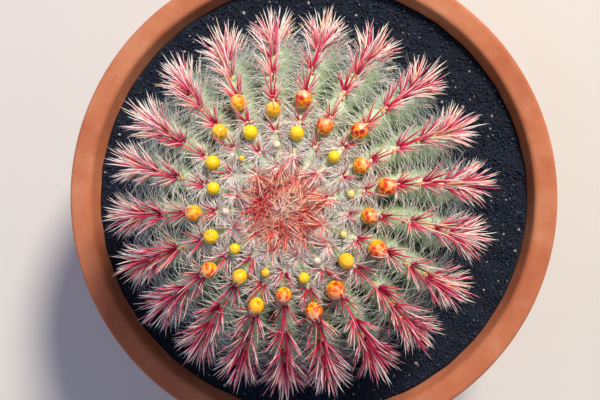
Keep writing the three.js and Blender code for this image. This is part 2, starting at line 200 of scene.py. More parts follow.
# How ripe each is: -1 is cream and woolly, 0 plain yellow, 1 orange with red scale tips.
BUD_RIPENESS = (
    (0.05, 0.95), (0.7,), (0.02, 1.0), (0.5,), (-0.4, 0.85), (0.55,), (-0.45, 0.75), (0.15,), (0.85,),
    (0.05, 0.8), (0.6,), (0.1, 0.25), (0.15,), (0.05, 0.45), (0.12,), (0.35,), (0.0,), (0.05,),
    (-0.05, 0.15), (0.0, 0.35), (-1.0, 0.25),
)
# The buds that spines of the areole below curve over, and how many.
SPINES_OVER_BUDS = (
    (3, 2), (5, 1), (8, 2), (9, 1), (11, 3), (13, 1), (15, 3),
    (18, 3), (19, 2), (21, 2), (23, 2), (28, 1), (31, 2),
)
RIBS_WITH_A_WOOL_BALL = (8, 15)
WOOL_BALL_RADIUS = 4.4
WOOL_BALL_RISE = 3.4  # of its middle over the crest
WOOL_BALL_SHIFT = 3  # further from the crown than a bud would sit
WOOL_SPREAD = 0.62  # of the wool round a young bud, over the bud's width
GLAND_ZONE = (118, 340)  # along the crest: areoles between these have nectar glands


# ---- Meshes ----
def new_piece(name, points, faces, material, replaced, smooth=True, growth=None):
    """A mesh of the given points, in millimetres, and faces, a list of arrays with 3 or 4 corners a row.

    growth is a colour attribute of three numbers a point, which the material reads.
    """
    mesh = bpy.data.meshes.new(name)
    corners = np.concatenate([block.ravel() for block in faces]).astype(np.int32)
    totals = np.concatenate([np.full(len(block), block.shape[1]) for block in faces])
    starts = np.concatenate([[0], np.cumsum(totals)[:-1]]).astype(np.int32)
    mesh.vertices.add(len(points))
    mesh.vertices.foreach_set("co", (np.asarray(points, np.float32) * MM).ravel())
    mesh.loops.add(len(corners))
    mesh.loops.foreach_set("vertex_index", corners)
    mesh.polygons.add(len(totals))
    mesh.polygons.foreach_set("loop_start", starts)
    mesh.update(calc_edges=True)
    mesh.polygons.foreach_set("use_smooth", np.full(len(totals), smooth))
    if growth is not None:
        colours = np.column_stack([growth, np.ones(len(points))]).astype(np.float32)
        mesh.attributes.new("growth", "FLOAT_COLOR", "POINT").data.foreach_set("color", colours.ravel())
    mesh.materials.append(material)
    piece = bpy.data.objects.new(name, mesh)
    bpy.context.scene.collection.objects.link(piece)
    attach(piece, "root")
    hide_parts(replaced)


def even_turns(count):
    """Angles in even steps round a circle."""
    return 2 * np.pi * np.arange(count) / count


def grid_faces(rows, columns):
    """The faces of a grid whose columns run round anticlockwise, seen from above, and close on themselves,
    and whose rows run down."""
    row = np.arange(rows - 1)[:, None] * columns
    column = np.arange(columns)[None, :]
    after = (column + 1) % columns
    corners = (row + column, row + columns + column, row + columns + after, row + after)
    return np.stack(corners, axis=-1).reshape(-1, 4)


def pole_faces(pole, ring_start, columns, pole_on_top):
    """The fan of triangles from a pole to the ring of points that starts at ring_start."""
    column = np.arange(columns)
    here = ring_start + column
    after = ring_start + (column + 1) % columns
    pole = np.full(columns, pole)
    return np.column_stack([pole, here, after] if pole_on_top else [pole, after, here])


def skin_between_poles(rings, top, bottom):
    """Points and faces of a closed skin: rows of rings from the top down, between two poles."""
    rows, columns = rings.shape[:2]
    points = np.concatenate([rings.reshape(-1, 3), [top, bottom]])
    last = rows * columns
    faces = [
        grid_faces(rows, columns),
        pole_faces(last, 0, columns, True),
        pole_faces(last + 1, (rows - 1) * columns, columns, False),
    ]
    return points, faces


def unit_ball(columns, rings):
    """A ball of radius 1: rings at even angles from pole to pole."""
    angle = np.pi * (np.arange(rings) + 1)[:, None] / (rings + 1)
    turn = even_turns(columns)[None]
    skin = (np.sin(angle) * np.cos(turn), np.sin(angle) * np.sin(turn), np.cos(angle) + 0 * turn)
    return skin_between_poles(np.stack(skin, -1), [0, 0, 1], [0, 0, -1])


def unit_crystal():
    """A regular solid of 20 triangles, radius 1: three golden rectangles, one in each pair of axes."""
    golden = (1 + math.sqrt(5)) / 2
    signs = np.array([(1, 1), (1, -1), (-1, 1), (-1, -1)])
    flat = np.column_stack([np.zeros(4), signs[:, 0], signs[:, 1] * golden])
    points = unit(np.concatenate([flat, np.roll(flat, 1, axis=1), np.roll(flat, 2, axis=1)]))
    apart = np.linalg.norm(points[:, None] - points[None], axis=2)
    near = (apart > 0.1) & (apart < 1.2)  # corners on one edge are 1.05 apart
    a, b, c = np.nonzero(near[:, :, None] & near[:, None, :] & near[None])
    facing = np.sum(np.cross(points[b] - points[a], points[c] - points[a]) * points[a], 1) > 0
    kept = (a < b) & (a < c) & facing
    return points, [np.column_stack([a, b, c])[kept]]


def repeated_faces(faces, size, count):
    """The faces of a shape of so many points, again for each of its copies."""
    shift = (np.arange(count) * size)[:, None, None]
    return [(block[None] + shift).reshape(-1, block.shape[1]) for block in faces]


def repeated(shape, centres, axes):
    """Copies of a unit shape: each point is centre + x first axis + y second axis + z third axis. The shape's
    points are the same for all copies, or given for each."""
    unit_points, unit_faces = shape
    count, size = len(centres), unit_points.shape[-2]
    unit_points = np.broadcast_to(unit_points, (count, size, 3))
    points = centres[:, None] + np.einsum("npi,nij->npj", unit_points, axes)
    return points.reshape(-1, 3), repeated_faces(unit_faces, size, count)


def unit(vectors):
    """The vectors at length 1."""
    return vectors / np.linalg.norm(vectors, axis=-1, keepdims=True)


def smooth_step(value, low, high):
    """0 below low, 1 above high, and 3 s^2 - 2 s^3 of the share s between them."""
    share = np.clip((value - low) / (high - low), 0, 1)
    return share * share * (3 - 2 * share)


def lerp(low, high, share):
    """The value at a share of the way from low to high."""
    return low + (high - low) * share


def waves(x, y, z, size, seed, octaves=3):
    """Soft random relief between about -1 and 1: sums of sine waves in random directions, of the given size
    in millimetres, each octave half as long and half as high."""
    draw = np.random.default_rng(seed)
    total = np.zeros(np.broadcast(x, y, z).shape)
    sines = 5
    for octave in range(octaves):
        for _ in range(sines):
            direction = unit(draw.normal(size=3)) * 2 * np.pi / (size / 2**octave)
            angle = direction[0] * x + direction[1] * y + direction[2] * z + draw.uniform(0, 7)
            total += np.sin(angle) / 2**octave
    return total / sines


# ---- The crest of a rib, by its length from the crown ----
def crest_at_angle(angle):
    """A squared ellipse, across = R sin(a)^(2/n) and height = H cos(a)^(2/n), with a shallow dip at the crown
    that fades as exp(-(across / its radius)^2)."""
    power = 2 / SQUARENESS
    cosine = np.cos(angle)
    across = CREST_RADIUS * np.maximum(np.sin(angle), 0) ** power
    reach = np.where(cosine > 0, CROWN_RISE, ROOT_DROP)
    dip = np.where(cosine > 0, CROWN_DIP * np.exp(-((across / CROWN_DIP_RADIUS) ** 2)), 0)
    return across, EQUATOR + np.sign(cosine) * reach * np.abs(cosine) ** power - dip


CREST_ACROSS, CREST_HEIGHT = crest_at_angle(np.linspace(0, np.pi, CREST_STEPS + 1))
CREST_RUN = np.concatenate([[0], np.cumsum(np.hypot(np.diff(CREST_ACROSS), np.diff(CREST_HEIGHT)))])
HALF = len(CREST_RUN) // 2  # the row of the equator
# The length of the crest above the gravel.
GRAVEL_LINE = float(np.interp(-GRAVEL_LEVEL, -CREST_HEIGHT[HALF:], CREST_RUN[HALF:]))


def crest(run):
    """Distance from the axis and height of the crest, by its length from the crown."""
    return np.interp(run, CREST_RUN, CREST_ACROSS), np.interp(run, CREST_RUN, CREST_HEIGHT)


CREST_AT_GRAVEL = crest(GRAVEL_LINE)[0]


def crest_frame(azimuth, run):
    """The place on the crest at an azimuth, and the directions out of the skin, down the rib and across."""
    azimuth, run = np.broadcast_arrays(azimuth, run)
    across, height = crest(run)
    step = 1.0
    after, before = crest(run + step), crest(np.maximum(run - step, 0))
    ahead = unit(np.stack(after, -1) - np.stack(before, -1))
    outward = np.stack([np.sin(azimuth), np.cos(azimuth), np.zeros(azimuth.shape)], -1)
    upward = np.array([0.0, 0.0, 1.0])
    place = across[..., None] * outward + height[..., None] * upward
    down = ahead[..., :1] * outward + ahead[..., 1:] * upward
    out = -ahead[..., 1:] * outward + ahead[..., :1] * upward
    return place, out, down, np.cross(down, out)


def rib_azimuth(rib, run):
    """A rib's azimuth: even steps, and a turn that changes from the crown's to the shoulder's."""
    rib = np.asarray(rib)
    share = smooth_step(run, *TWIST_ZONE)
    turn = lerp(np.take(TURN_AT_CROWN, rib), np.take(TURN_AT_SHOULDER, rib), share)
    return np.radians(RIB_PHASE + 360 / RIBS * rib + turn)


def areole_run(rib, turn):
    """Length along the crest of one areole of a rib, counted from the crown."""
    rib = np.asarray(rib)
    return FIRST_AREOLE + AREOLE_PITCH * (turn + (PHASE_STEP * rib) % 1) + np.take(AREOLE_SHIFT, rib)


def areoles():
    """Rib and length along the crest of every areole between the crown and the gravel."""
    ribs, turns = np.meshgrid(np.arange(RIBS), np.arange(-1, 14), indexing="ij")
    runs = areole_run(ribs, turns)
    low = (crest(runs)[1] < GRAVEL_LEVEL + LOWEST_AREOLE) & (runs > GRAVEL_LINE / 2)
    kept = (runs > NEAREST_AREOLE) & ~low
    return ribs[kept], runs[kept]


AREOLE_RIB, AREOLE_RUN = areoles()


def areole_frames(chosen, ahead=0.0):
    """The crest's frames at the chosen areoles, or a little further along their ribs."""
    run = AREOLE_RUN[chosen] + ahead
    return crest_frame(rib_azimuth(AREOLE_RIB[chosen], run), run)


# ---- Where the buds are ----
def first_budding(rib):
    """The number of the first areole of a rib that is far enough out to bear a bud."""
    return np.ceil((FIRST_BUD + BUD_ABOVE_AREOLE - areole_run(rib, 0)) / AREOLE_PITCH)


def bud_list():
    """Every bud in the order of the CAD nodes: its frame, size and ripeness."""
    buds = []
    for rib in range(RIBS):
        first = first_budding(rib)
        for i, (diameter, ripeness) in enumerate(zip(BUD_WIDTHS[rib], BUD_RIPENESS[rib])):
            run = areole_run(rib, first + i) - BUD_ABOVE_AREOLE
            place, out, down, side = crest_frame(rib_azimuth(rib, run), run)
            tall = diameter * BUD_LENGTH_SHARE
            buds.append(
                dict(
                    rib=rib,
                    run=run,
                    foot=place - out * BUD_SEAT,
                    centre=place + out * (tall / 2 - BUD_SEAT),
                    out=out,
                    down=down,
                    side=side,
                    diameter=diameter,
                    tall=tall,
                    ripeness=ripeness,
                )
            )
    return buds


BUDS = bud_list()


def clear_of_buds(roots, tips, margin):
    """Moves the tips until each straight root-to-tip line clears every bud's ball, at the same length."""
    # A bud beside the root is judged a fifth of the way up the line, and each push goes a little too far.
    passes, nearest_share, overshoot = 6, 0.2, 1.1
    length = np.linalg.norm(tips - roots, axis=1, keepdims=True)
    for _ in range(passes):
        for bud in BUDS:
            way = tips - roots
            share = np.sum((bud["centre"] - roots) * way, 1) / np.sum(way * way, 1)
            share = np.clip(share, nearest_share, 1)[:, None]
            off = roots + share * way - bud["centre"]
            distance = np.linalg.norm(off, axis=1, keepdims=True)
            short = np.maximum(bud["tall"] / 2 + margin - distance, 0)
            tips = tips + off / distance * overshoot * short / share
            tips = roots + unit(tips - roots) * length
    return tips


def clear_of_gravel(roots, tips, lowest):
    """Lifts the tips that reach below the given height up to it, at the same length."""
    length = np.linalg.norm(tips - roots, axis=1)
    level = tips - roots
    level[:, 2] = 0
    rise = lowest - roots[:, 2]
    reach = np.sqrt(np.maximum(length**2 - rise**2, 0))
    lifted = roots + unit(level + 1e-9) * reach[:, None]
    lifted[:, 2] = lowest
    return np.where((tips[:, 2] < lowest)[:, None], lifted, tips)


# ---- Strands: spines, bristles and wool ----
def turned_from(first, second, turn):
    """The directions at a turn from the first ones towards the second: cos first + sin second."""
    return first * np.cos(turn)[:, None] + second * np.sin(turn)[:, None]


def strands(name, roots, tips, radii, bends, sides, rings, material, tint, age, sway=None, blunt=0.5):
    """Tapered strands: a round profile carried along root + (tip - root) t + bend 4 t (1 - t), with a sway
    that grows as t, its radius shrinking as (1 - t)^blunt to a point."""
    count = len(roots)
    t = np.arange(rings) / rings
    way = tips - roots
    direction = unit(way)
    helper = np.where(np.abs(direction[:, 2:]) > 0.9, [[1.0, 0, 0]], [[0, 0, 1.0]])
    first = unit(np.cross(direction, helper))
    second = np.cross(direction, first)
    centre = roots[:, None] + way[:, None] * t[:, None] + bends[:, None] * (4 * t * (1 - t))[:, None]
    if sway is not None:
        angle = 2 * np.pi * (sway[:, :1] * t + sway[:, 1:2])
        centre = centre + (sway[:, 2:3] * np.sin(angle) * t)[..., None] * first[:, None]
        centre = centre + (sway[:, 3:4] * np.cos(angle) * t)[..., None] * second[:, None]
    ring = turned_from(first[:, None], second[:, None], even_turns(sides))
    radius = radii[:, None] * (1 - t) ** blunt
    skin = centre[:, :, None] + radius[:, :, None, None] * ring[:, None]
    points = np.concatenate([skin.reshape(count, -1, 3), roots[:, None], tips[:, None]], axis=1)
    growth = np.empty(points.shape)
    growth[..., 0] = np.concatenate([np.repeat(t, sides), [0.0, 1.0]])
    growth[..., 1] = tint[:, None]
    growth[..., 2] = age[:, None]
    size = points.shape[1]
    column = np.arange(sides)
    after = (column + 1) % sides
    row = np.arange(rings - 1)[:, None] * sides
    next_row = row + sides
    wall = np.stack([row + column, row + after, next_row + after, next_row + column], -1).reshape(-1, 4)
    last = (rings - 1) * sides
    base = np.column_stack([np.full(sides, size - 2), after, column])
    point = np.column_stack([last + column, last + after, np.full(sides, size - 1)])
    faces = repeated_faces((wall, base, point), size, count)
    points, growth = points.reshape(-1, 3), growth.reshape(-1, 3)
    new_piece(name, points, faces, material, "cactus_stem", growth=growth)


def fan_directions(frames, turn, lean):
    """Directions at a turn round the areole from the down-rib side and a lean away from upright."""
    _, out, down, side = frames
    return turned_from(out, turned_from(down, side, turn), lean)


def crooked(roots, tips, reach, draw):
    """A slight bend for each spine, across it in a random direction."""
    across = np.cross(unit(tips - roots), draw.normal(size=roots.shape))
    return across * reach[:, None] * SPINE_BEND


def spine_piece(name, areoles_used, turn, lean, reach, radii, tint, age, material, draw):
    """One spine for each row: a root beside its areole, a turn and a lean in degrees, a length, a radius."""
    frames = areole_frames(areoles_used)
    place, out, down, side = frames
    turn = np.radians(turn)
    roots = place + turned_from(down, side, turn) * SPINE_OFF_AXIS - out * SPINE_ROOT_DEPTH
    tips = roots + fan_directions(frames, turn, np.radians(lean)) * reach[:, None]
    tips = clear_of_buds(roots, tips, SPINE_OFF_BUD)
    tips = clear_of_gravel(roots, tips, GRAVEL_LEVEL + SPINE_OVER_GRAVEL)
    bends = crooked(roots, tips, reach, draw)
    bends += out * reach[:, None] * SPINE_BOW
    strands(name, roots, tips, radii, bends, 6, 6, material, tint, age, blunt=0.58)


def areole_spines(material):
    """The stout spines of each areole, in three pieces: one fan down the rib and one beside and above, and a
    second one beside and above on the older areoles."""
    draw = np.random.default_rng(SEED)
    fan = np.array(SPINE_FAN)
    along = np.abs(fan[:, 0]) < 30
    # Name, spines of the fan, nearest areole, growth, its lead on the long side, and how much redder young
    # spines are.
    sets = (
        ("down_rib_spines", along, CROWN_AREOLES, SPINE_GROWTH, 0, 0.28),
        ("side_spines", ~along, CROWN_AREOLES, SIDE_SPINE_GROWTH, LONG_SIDE_LEAD, 0.14),
        ("second_side_spines", ~along, FULL_FANS, SIDE_SPINE_GROWTH, LONG_SIDE_LEAD, 0.14),
    )
    for name, chosen, nearest, growth, lead, red in sets:
        outer = np.nonzero(AREOLE_RUN > nearest)[0]
        areole = np.repeat(outer, chosen.sum())
        turn, young, old, share, radius = np.tile(fan[chosen], (len(outer), 1)).T
        run = AREOLE_RUN[areole]
        count = len(run)
        spread = smooth_step(run, *SPREADING)
        lean = lerp(young, old, spread) + draw.normal(0, 4.5, count)
        turn = turn * lerp(0.7, 1, spread) + draw.normal(0, 6, count)
        azimuth = rib_azimuth(AREOLE_RIB[areole], run)
        ahead = 0.5 * lead * (1 + np.cos(azimuth - math.radians(LONG_SIDE)))
        grown = smooth_step(run + ahead, *growth)
        reach = lerp(YOUNG_SPINE, OLD_SPINE, grown) * share * draw.uniform(*SPINE_LENGTHS, count)
        radii = radius * lerp(0.6, 1, smooth_step(run, *THICKENING)) * draw.uniform(0.7, 1.02, count)
        age = smooth_step(run + draw.normal(0, 18, count), *AGEING)
        # The tint by side is painted light: redder on the shaded lower side and paler on the sky-lit left
        # side.
        facing = np.cos(azimuth - math.radians(SHADED_RED_SIDE))
        tint = draw.uniform(0.06, 1, count) - SHADED_RED_SHARE * (1 + facing)
        pale = SKYLIT_PALE_SHARE * np.maximum(np.cos(azimuth - math.radians(SKYLIT_PALE_SIDE)), 0) ** 2
        tint = np.clip(tint + lerp(-red, pale, smooth_step(run, 150, 240)), 0, 1)
        spine_piece(name, areole, turn, lean, reach, radii, tint, age, material, draw)


def spines_over_buds(material):
    """Spines from the areole below a bud whose tips lie over it: each bows out until it clears the bud."""
    draw = np.random.default_rng(SEED + 6)
    numbers, counts = np.array(SPINES_OVER_BUDS).T
    owner = np.repeat(numbers - 1, counts)
    count = len(owner)
    keys = ("rib", "run", "centre", "out", "down", "side", "tall")
    rib, run, centre, out, down, side, tall = (np.array([BUDS[i][key] for i in owner]) for key in keys)
    run = run + BUD_ABOVE_AREOLE
    place, areole_out, _, _ = crest_frame(rib_azimuth(rib, run), run)
    roots = place + side * draw.normal(0, 1.6, count)[:, None] - areole_out * SPINE_ROOT_DEPTH
    across = draw.normal(0, 0.28, count) * tall
    past = draw.uniform(-0.1, 0.5, count) * tall
    height = tall / 2 + 3 - 0.3 * np.abs(across)
    tips = centre + out * height[:, None] + side * across[:, None] - down * past[:, None]
    bow = np.full(count, 2.0)
    t = np.linspace(0, 1, 12)[None, :, None]
    passes = 10  # each adds a millimetre of bow to the spines that still touch
    for _ in range(passes):
        bends = (out + 0.4 * down) * bow[:, None]
        path = roots[:, None] + (tips - roots)[:, None] * t + bends[:, None] * 4 * t * (1 - t)
        nearest = np.linalg.norm(path - centre[:, None], axis=2).min(axis=1)
        bow = bow + (nearest < tall / 2 + 1.6)
    age = smooth_step(run, 60, 150)
    radii = draw.uniform(0.7, 1.0, count)
    tint = draw.uniform(0.3, 1, count)
    strands("spines_over_buds", roots, tips, radii, bends, 6, 9, material, tint, age, blunt=0.58)


def crimson_share(points):
    """How far the points lie inside the crown's crimson patches, from 0 to 1."""
    share = np.zeros(len(points))
    for x, y, radius in CRIMSON_PATCHES:
        distance = np.hypot(points[:, 0] - x, points[:, 1] - y)
        share = np.maximum(share, smooth_step(-distance, -1.3 * radius, -0.7 * radius))
    return share


def crown_spines(coral, pink):
    """The young spines round the crown, leaning inwards over it: two fans on each of the first areoles of the
    ribs, coral ones and outside them pink ones, then bundles inside them set by the golden angle, and fine
    bristles between these."""
    draw = np.random.default_rng(SEED + 1)
    fan = np.array(CROWN_FAN)
    edges = (
        ("crown_edge_spines", 0, CORAL_AREOLES, coral),
        ("pink_edge_spines", CORAL_AREOLES, CROWN_AREOLES, pink),
    )
    for name, low, high, material in edges:
        inner = np.nonzero((AREOLE_RUN > low) & (AREOLE_RUN <= high))[0]
        areole = np.repeat(inner, 2 * len(fan))
        turn, lean, share = np.tile(fan, (2 * len(inner), 1)).T
        count = len(areole)
        turn = turn + draw.normal(0, 9, count)
        lean = lean + draw.normal(0, 6, count)
        reach = CROWN_SPINE * share * draw.uniform(*SPINE_LENGTHS, count)
        radii = draw.uniform(0.5, 0.8, count)
        tint = draw.uniform(0.25, 1, count)
        # The crimson is judged 9 mm nearer the crown than the roots, where most spines' middles lie.
        crimson = crimson_share(areole_frames(areole, ahead=-9)[0])
        spine_piece(name, areole, turn, lean, reach, radii, tint, crimson, material, draw)
    number = np.arange(CROWN_BUNDLES)
    run = lerp(12, TUFT_RADIUS, np.sqrt((number + 0.5) / CROWN_BUNDLES))
    run = np.repeat(run * draw.uniform(0.94, 1.06, CROWN_BUNDLES), BUNDLE_SPINES)
    azimuth = number * GOLDEN_ANGLE + draw.normal(0, 0.08, CROWN_BUNDLES)
    azimuth = np.repeat(azimuth, BUNDLE_SPINES)
    crown_strands("crown_spines", run, azimuth, BUNDLE_LENGTH, (0.45, 0.75), coral, draw)
    run = TUFT_RADIUS * 1.15 * np.sqrt(draw.uniform(0.03, 1, CROWN_BRISTLES))
    azimuth = draw.uniform(0, 2 * np.pi, CROWN_BRISTLES)
    crown_strands("crown_bristles", run, azimuth, CROWN_BRISTLE, (0.28, 0.48), coral, draw)


def crown_strands(name, run, azimuth, length, radii, material, draw):
    """Strands at the given places on the crown: outwards near its middle and mostly inwards near its edge."""
    count = len(run)
    frames = crest_frame(azimuth, run)
    place, out, down, side = frames
    # Up to four in five lean inwards, more of them the further out they stand.
    inward = draw.uniform(size=count) < smooth_step(run, 20, 36) * 0.8
    turn = np.where(inward, np.pi, 0) + draw.normal(0, 0.36, count)
    lean = np.radians(draw.normal(57, 10, count))
    reach = draw.uniform(0.75, 1.15, count) * length
    room = np.maximum(run - CROWN_WOOL_RADIUS, 3) / np.sin(lean)
    reach = np.where(inward, np.minimum(reach, room), reach)
    roots = place + turned_from(down, side, turn) * 1.2 - out * 1.5
    tips = roots + fan_directions(frames, turn, lean) * reach[:, None]
    bends = crooked(roots, tips, reach, draw)
    crimson = crimson_share((roots + tips) / 2)
    tint = draw.uniform(0, 0.85, count)
    radii = draw.uniform(*radii, count)
    strands(name, roots, tips, radii, bends, 5, 4, material, tint, crimson, blunt=0.5)


def bristles(material):
    """White bristles round each areole, most of them out to both sides, lying over the flanks and furrows.
    They are about 0.6 mm thick, thicker than real ones, so that they show."""
    draw = np.random.default_rng(SEED + 2)
    upper = 0.5 + 0.5 * np.cos(rib_azimuth(AREOLE_RIB, AREOLE_RUN) - math.radians(HAIRY_SIDE))
    on_flank = np.round(lerp(34, 66, upper**2)).astype(int)
    # At the crown, among the buds, on the flanks, and by the gravel.
    zones = [AREOLE_RUN < 40, AREOLE_RUN < 108, AREOLE_RUN < 270]
    each = np.select(zones, [14, 112, on_flank], 14)
    areole = np.repeat(np.arange(len(AREOLE_RUN)), each)
    run = AREOLE_RUN[areole]
    count = len(run)
    frames = areole_frames(areole)
    place, out, down, side = frames
    # They stand out to one side or the other, the older ones in a closer bunch.
    hand = np.where(draw.uniform(size=count) < 0.5, 1, -1)
    scatter = lerp(50, 26, smooth_step(run, 60, 130))
    turn = hand * np.radians(np.abs(draw.normal(86, scatter, count)))
    # Some stand up, and the others lie over the flank and down into the furrow.
    lying = draw.uniform(size=count) * smooth_step(run, 40, 110)
    steep = 88 + 36 * np.abs(np.sin(turn)) * draw.uniform(0.1, 1, count)
    lean = lerp(draw.uniform(56, 84, count), steep, lying > 0.35)
    reach = lerp(20, 48, smooth_step(run, 45, 150)) * draw.uniform(0.55, 1.08, count)
    reach *= lerp(1, 0.72, smooth_step(run, 240, 330))
    direction = fan_directions(frames, turn, np.radians(lean))
    roots = place + side * (hand * draw.uniform(1, 3, count))[:, None] - out * 1.2
    roots += down * draw.normal(0, lerp(3, 8, smooth_step(run, 60, 130)), count)[:, None]
    tips = clear_of_buds(roots, roots + direction * reach[:, None], BRISTLE_OFF_BUD)
    tips = clear_of_gravel(roots, tips, GRAVEL_LEVEL + BRISTLE_OVER_GRAVEL)
    bow = draw.uniform(0.01, 0.08, count) + 0.14 * smooth_step(lean, 84, 126)
    bends = out * (reach * bow)[:, None]
    bends += down * (reach * draw.normal(0, 0.08, count))[:, None]
    # Rounds, first angle, and reach to both sides.
    ranges = ((0.3, 0.6), (0, 1), (0.1, 0.9), (0.1, 0.7))
    sway = np.column_stack([draw.uniform(low, high, count) for low, high in ranges])
    radii = draw.uniform(0.24, 0.36, count) * lerp(1.15, 1, smooth_step(run, 90, 160))
    # One in six is stouter, among the buds and above them.
    radii *= np.where((run < 130) & (draw.uniform(size=count) < 0.16), 1.4, 1)
    tint = draw.uniform(0, 1, count)
    age = smooth_step(run, 40, 300)
    for number in range(BRISTLE_PIECES):
        kept = areole % BRISTLE_PIECES == number
        shape = (roots[kept], tips[kept], radii[kept], bends[kept], 3, 6)
        look = (material, tint[kept], age[kept])
        strands(f"white_bristles_{number + 1}", *shape, *look, sway=sway[kept], blunt=0.4)


def wool(name, centres, outs, radius, length, each, material, seed):
    """Fine wool: short hairs spread over a low mound round each centre, leaning away from its middle."""
    draw = np.random.default_rng(seed)
    owner = np.repeat(np.arange(len(centres)), each)
    count = len(owner)
    out = outs[owner]
    helper = unit(np.cross(out, [[0.31, 0.95, 0.05]]))
    other = np.cross(out, helper)
    turn = draw.uniform(0, 2 * np.pi, count)
    off = np.sqrt(draw.uniform(0, 1, count))
    sideways = turned_from(helper, other, turn)
    roots = centres[owner] + sideways * (off * radius[owner])[:, None]
    leaning = out * (1.15 - off)[:, None] + sideways * off[:, None]
    direction = unit(leaning + draw.normal(0, 0.3, (count, 3)))
    tips = roots + direction * (length * draw.uniform(0.6, 1.2, count))[:, None]
    bends = draw.normal(0, 0.12 * length, (count, 3))
    radii = draw.uniform(0.2, 0.34, count)
    tint, age = draw.uniform(0, 1, count), np.zeros(count)
    strands(name, roots, tips, radii, bends, 3, 4, material, tint, age, blunt=0.4)


def areole_felt(material):
    """A low pad of felt on each areole: a ball flattened along the way out of the skin."""
    draw = np.random.default_rng(SEED + 3)
    count = len(AREOLE_RUN)
    place, out, down, side = areole_frames(np.arange(count))
    size = lerp(0.75, 1, smooth_step(AREOLE_RUN, 30, 120)) * draw.uniform(0.9, 1.1, count)
    axes = np.stack([down, side, out], axis=1) * np.array(AREOLE_FELT)[:, None] * size[:, None, None]
    points, faces = repeated(unit_ball(8, 5), place - out * 0.3, axes)
    growth = np.column_stack([smooth_step(AREOLE_RUN, 90, 300), draw.uniform(0, 1, (count, 2))])
    growth = np.repeat(growth, len(points) // count, axis=0)
    new_piece("areole_felt", points, faces, material, "cactus_stem", growth=growth)


def nectar_glands(material):
    """Small waxy glands at each areole below the buds, three towards the crown and one below: flattened
    balls."""
    draw = np.random.default_rng(SEED + 4)
    offsets = (-4.2, -6.6, -8.8, 4.6)  # from the areole, down the rib
    chosen = (AREOLE_RUN > GLAND_ZONE[0]) & (AREOLE_RUN < GLAND_ZONE[1])
    run = np.repeat(AREOLE_RUN[chosen], len(offsets))
    rib = np.repeat(AREOLE_RIB[chosen], len(offsets))
    count = len(run)
    along = np.tile(offsets, chosen.sum()) + draw.normal(0, 0.5, count)
    place, out, down, side = crest_frame(rib_azimuth(rib, run), run + along)
    radius = draw.uniform(1.1, 1.9, count)
    centres = place + side * draw.normal(0, 1.3, count)[:, None] + out * 0.3
    axes = np.stack([down, side, out * 0.8], axis=1) * radius[:, None, None]
    points, faces = repeated(unit_ball(8, 5), centres, axes)
    growth = np.repeat(draw.uniform(0, 1, (count, 3)), len(points) // count, axis=0)
    new_piece("nectar_glands", points, faces, material, "cactus_stem", growth=growth)


# ---- The stem ----
def skin_depth(from_crest, run):
    """How far the skin lies under the crest: a furrow as distance^1.9, rounded off at its bottom, and
    shallower towards the base."""
    bottom, rest = 0.86, 0.14
    rounded = from_crest - 0.5 * np.maximum(from_crest - bottom, 0) ** 2 / rest
    towards_base = smooth_step(run, GRAVEL_LINE - 90, GRAVEL_LINE + 60)
    return FURROW_SHARE * crest(run)[0] * lerp(1, 0.25, towards_base) * rounded**FURROW_POWER


def stem_skin(material):
    """The ribbed skin from the crown to the root: a squared ellipse with furrows, its crest sunk a little
    between areoles and swollen at each, and a turned root below."""
    each, above = 22, 174  # columns on each rib, and rows above the gravel
    columns = RIBS * each
    seen = GRAVEL_LINE * (np.arange(above) + 0.6) / (above - 0.4)  # even steps down to the gravel
    buried = [GRAVEL_LINE + 12, GRAVEL_LINE + 40]
    run, column = np.meshgrid(np.concatenate([seen, buried]), np.arange(columns), indexing="ij")
    here = (RIBS - column // each) % RIBS
    after = (here - 1) % RIBS
    share = column % each / each
    gap = (rib_azimuth(here, run) - rib_azimuth(after, run)) % (2 * np.pi)
    azimuth = rib_azimuth(here, run) - gap * share
    rib = np.where(share < 0.5, here, after)
    from_crest = 2 * np.minimum(share, 1 - share)
    from_areole = (run - areole_run(rib, 0)) / AREOLE_PITCH
    from_areole = 2 * np.abs(from_areole - np.round(from_areole))
    place, out, _, _ = crest_frame(azimuth, run)
    fade = smooth_step(run, 20, 60)
    notch = CREST_NOTCH * (0.5 - 0.5 * np.cos(np.pi * from_areole))
    notch = notch * np.exp(-((from_crest / 0.34) ** 2)) * fade
    swell = np.exp(-((from_areole / 0.4) ** 2) - ((from_crest - 0.2) / 0.2) ** 2)
    swell = AREOLE_SWELL * swell * fade
    relief = SKIN_RELIEF * waves(*np.moveaxis(place, -1, 0), SKIN_RELIEF_SIZE, SEED + 5)
    depth = skin_depth(from_crest, run) + notch - swell - relief * from_crest
    skin = place - out * depth[..., None]
    drop = np.linspace(0, 1, 6)[:, None]
    radius = lerp(TAPROOT_RADIUS, TAPROOT_TIP_RADIUS, drop)
    turn = azimuth[-1][None]
    low = ROOT_END - TAPROOT_LENGTH * drop + 0 * turn
    root = np.stack([radius * np.sin(turn), radius * np.cos(turn), low], -1)
    crown = [0, 0, EQUATOR + CROWN_RISE - CROWN_DIP]
    tip = [0, 0, ROOT_END - TAPROOT_LENGTH]
    points, faces = skin_between_poles(np.concatenate([skin, root]), crown, tip)
    growth = np.stack([from_crest, run / GRAVEL_LINE, 1 - from_areole], -1).reshape(-1, 3)
    # The root looks as the skin does by the gravel.
    growth = np.concatenate([growth, np.tile([0.2, 1.0, 0.0], (len(root) * columns + 2, 1))])
    new_piece("ribbed_stem", points, faces, material, "cactus_stem", growth=growth)


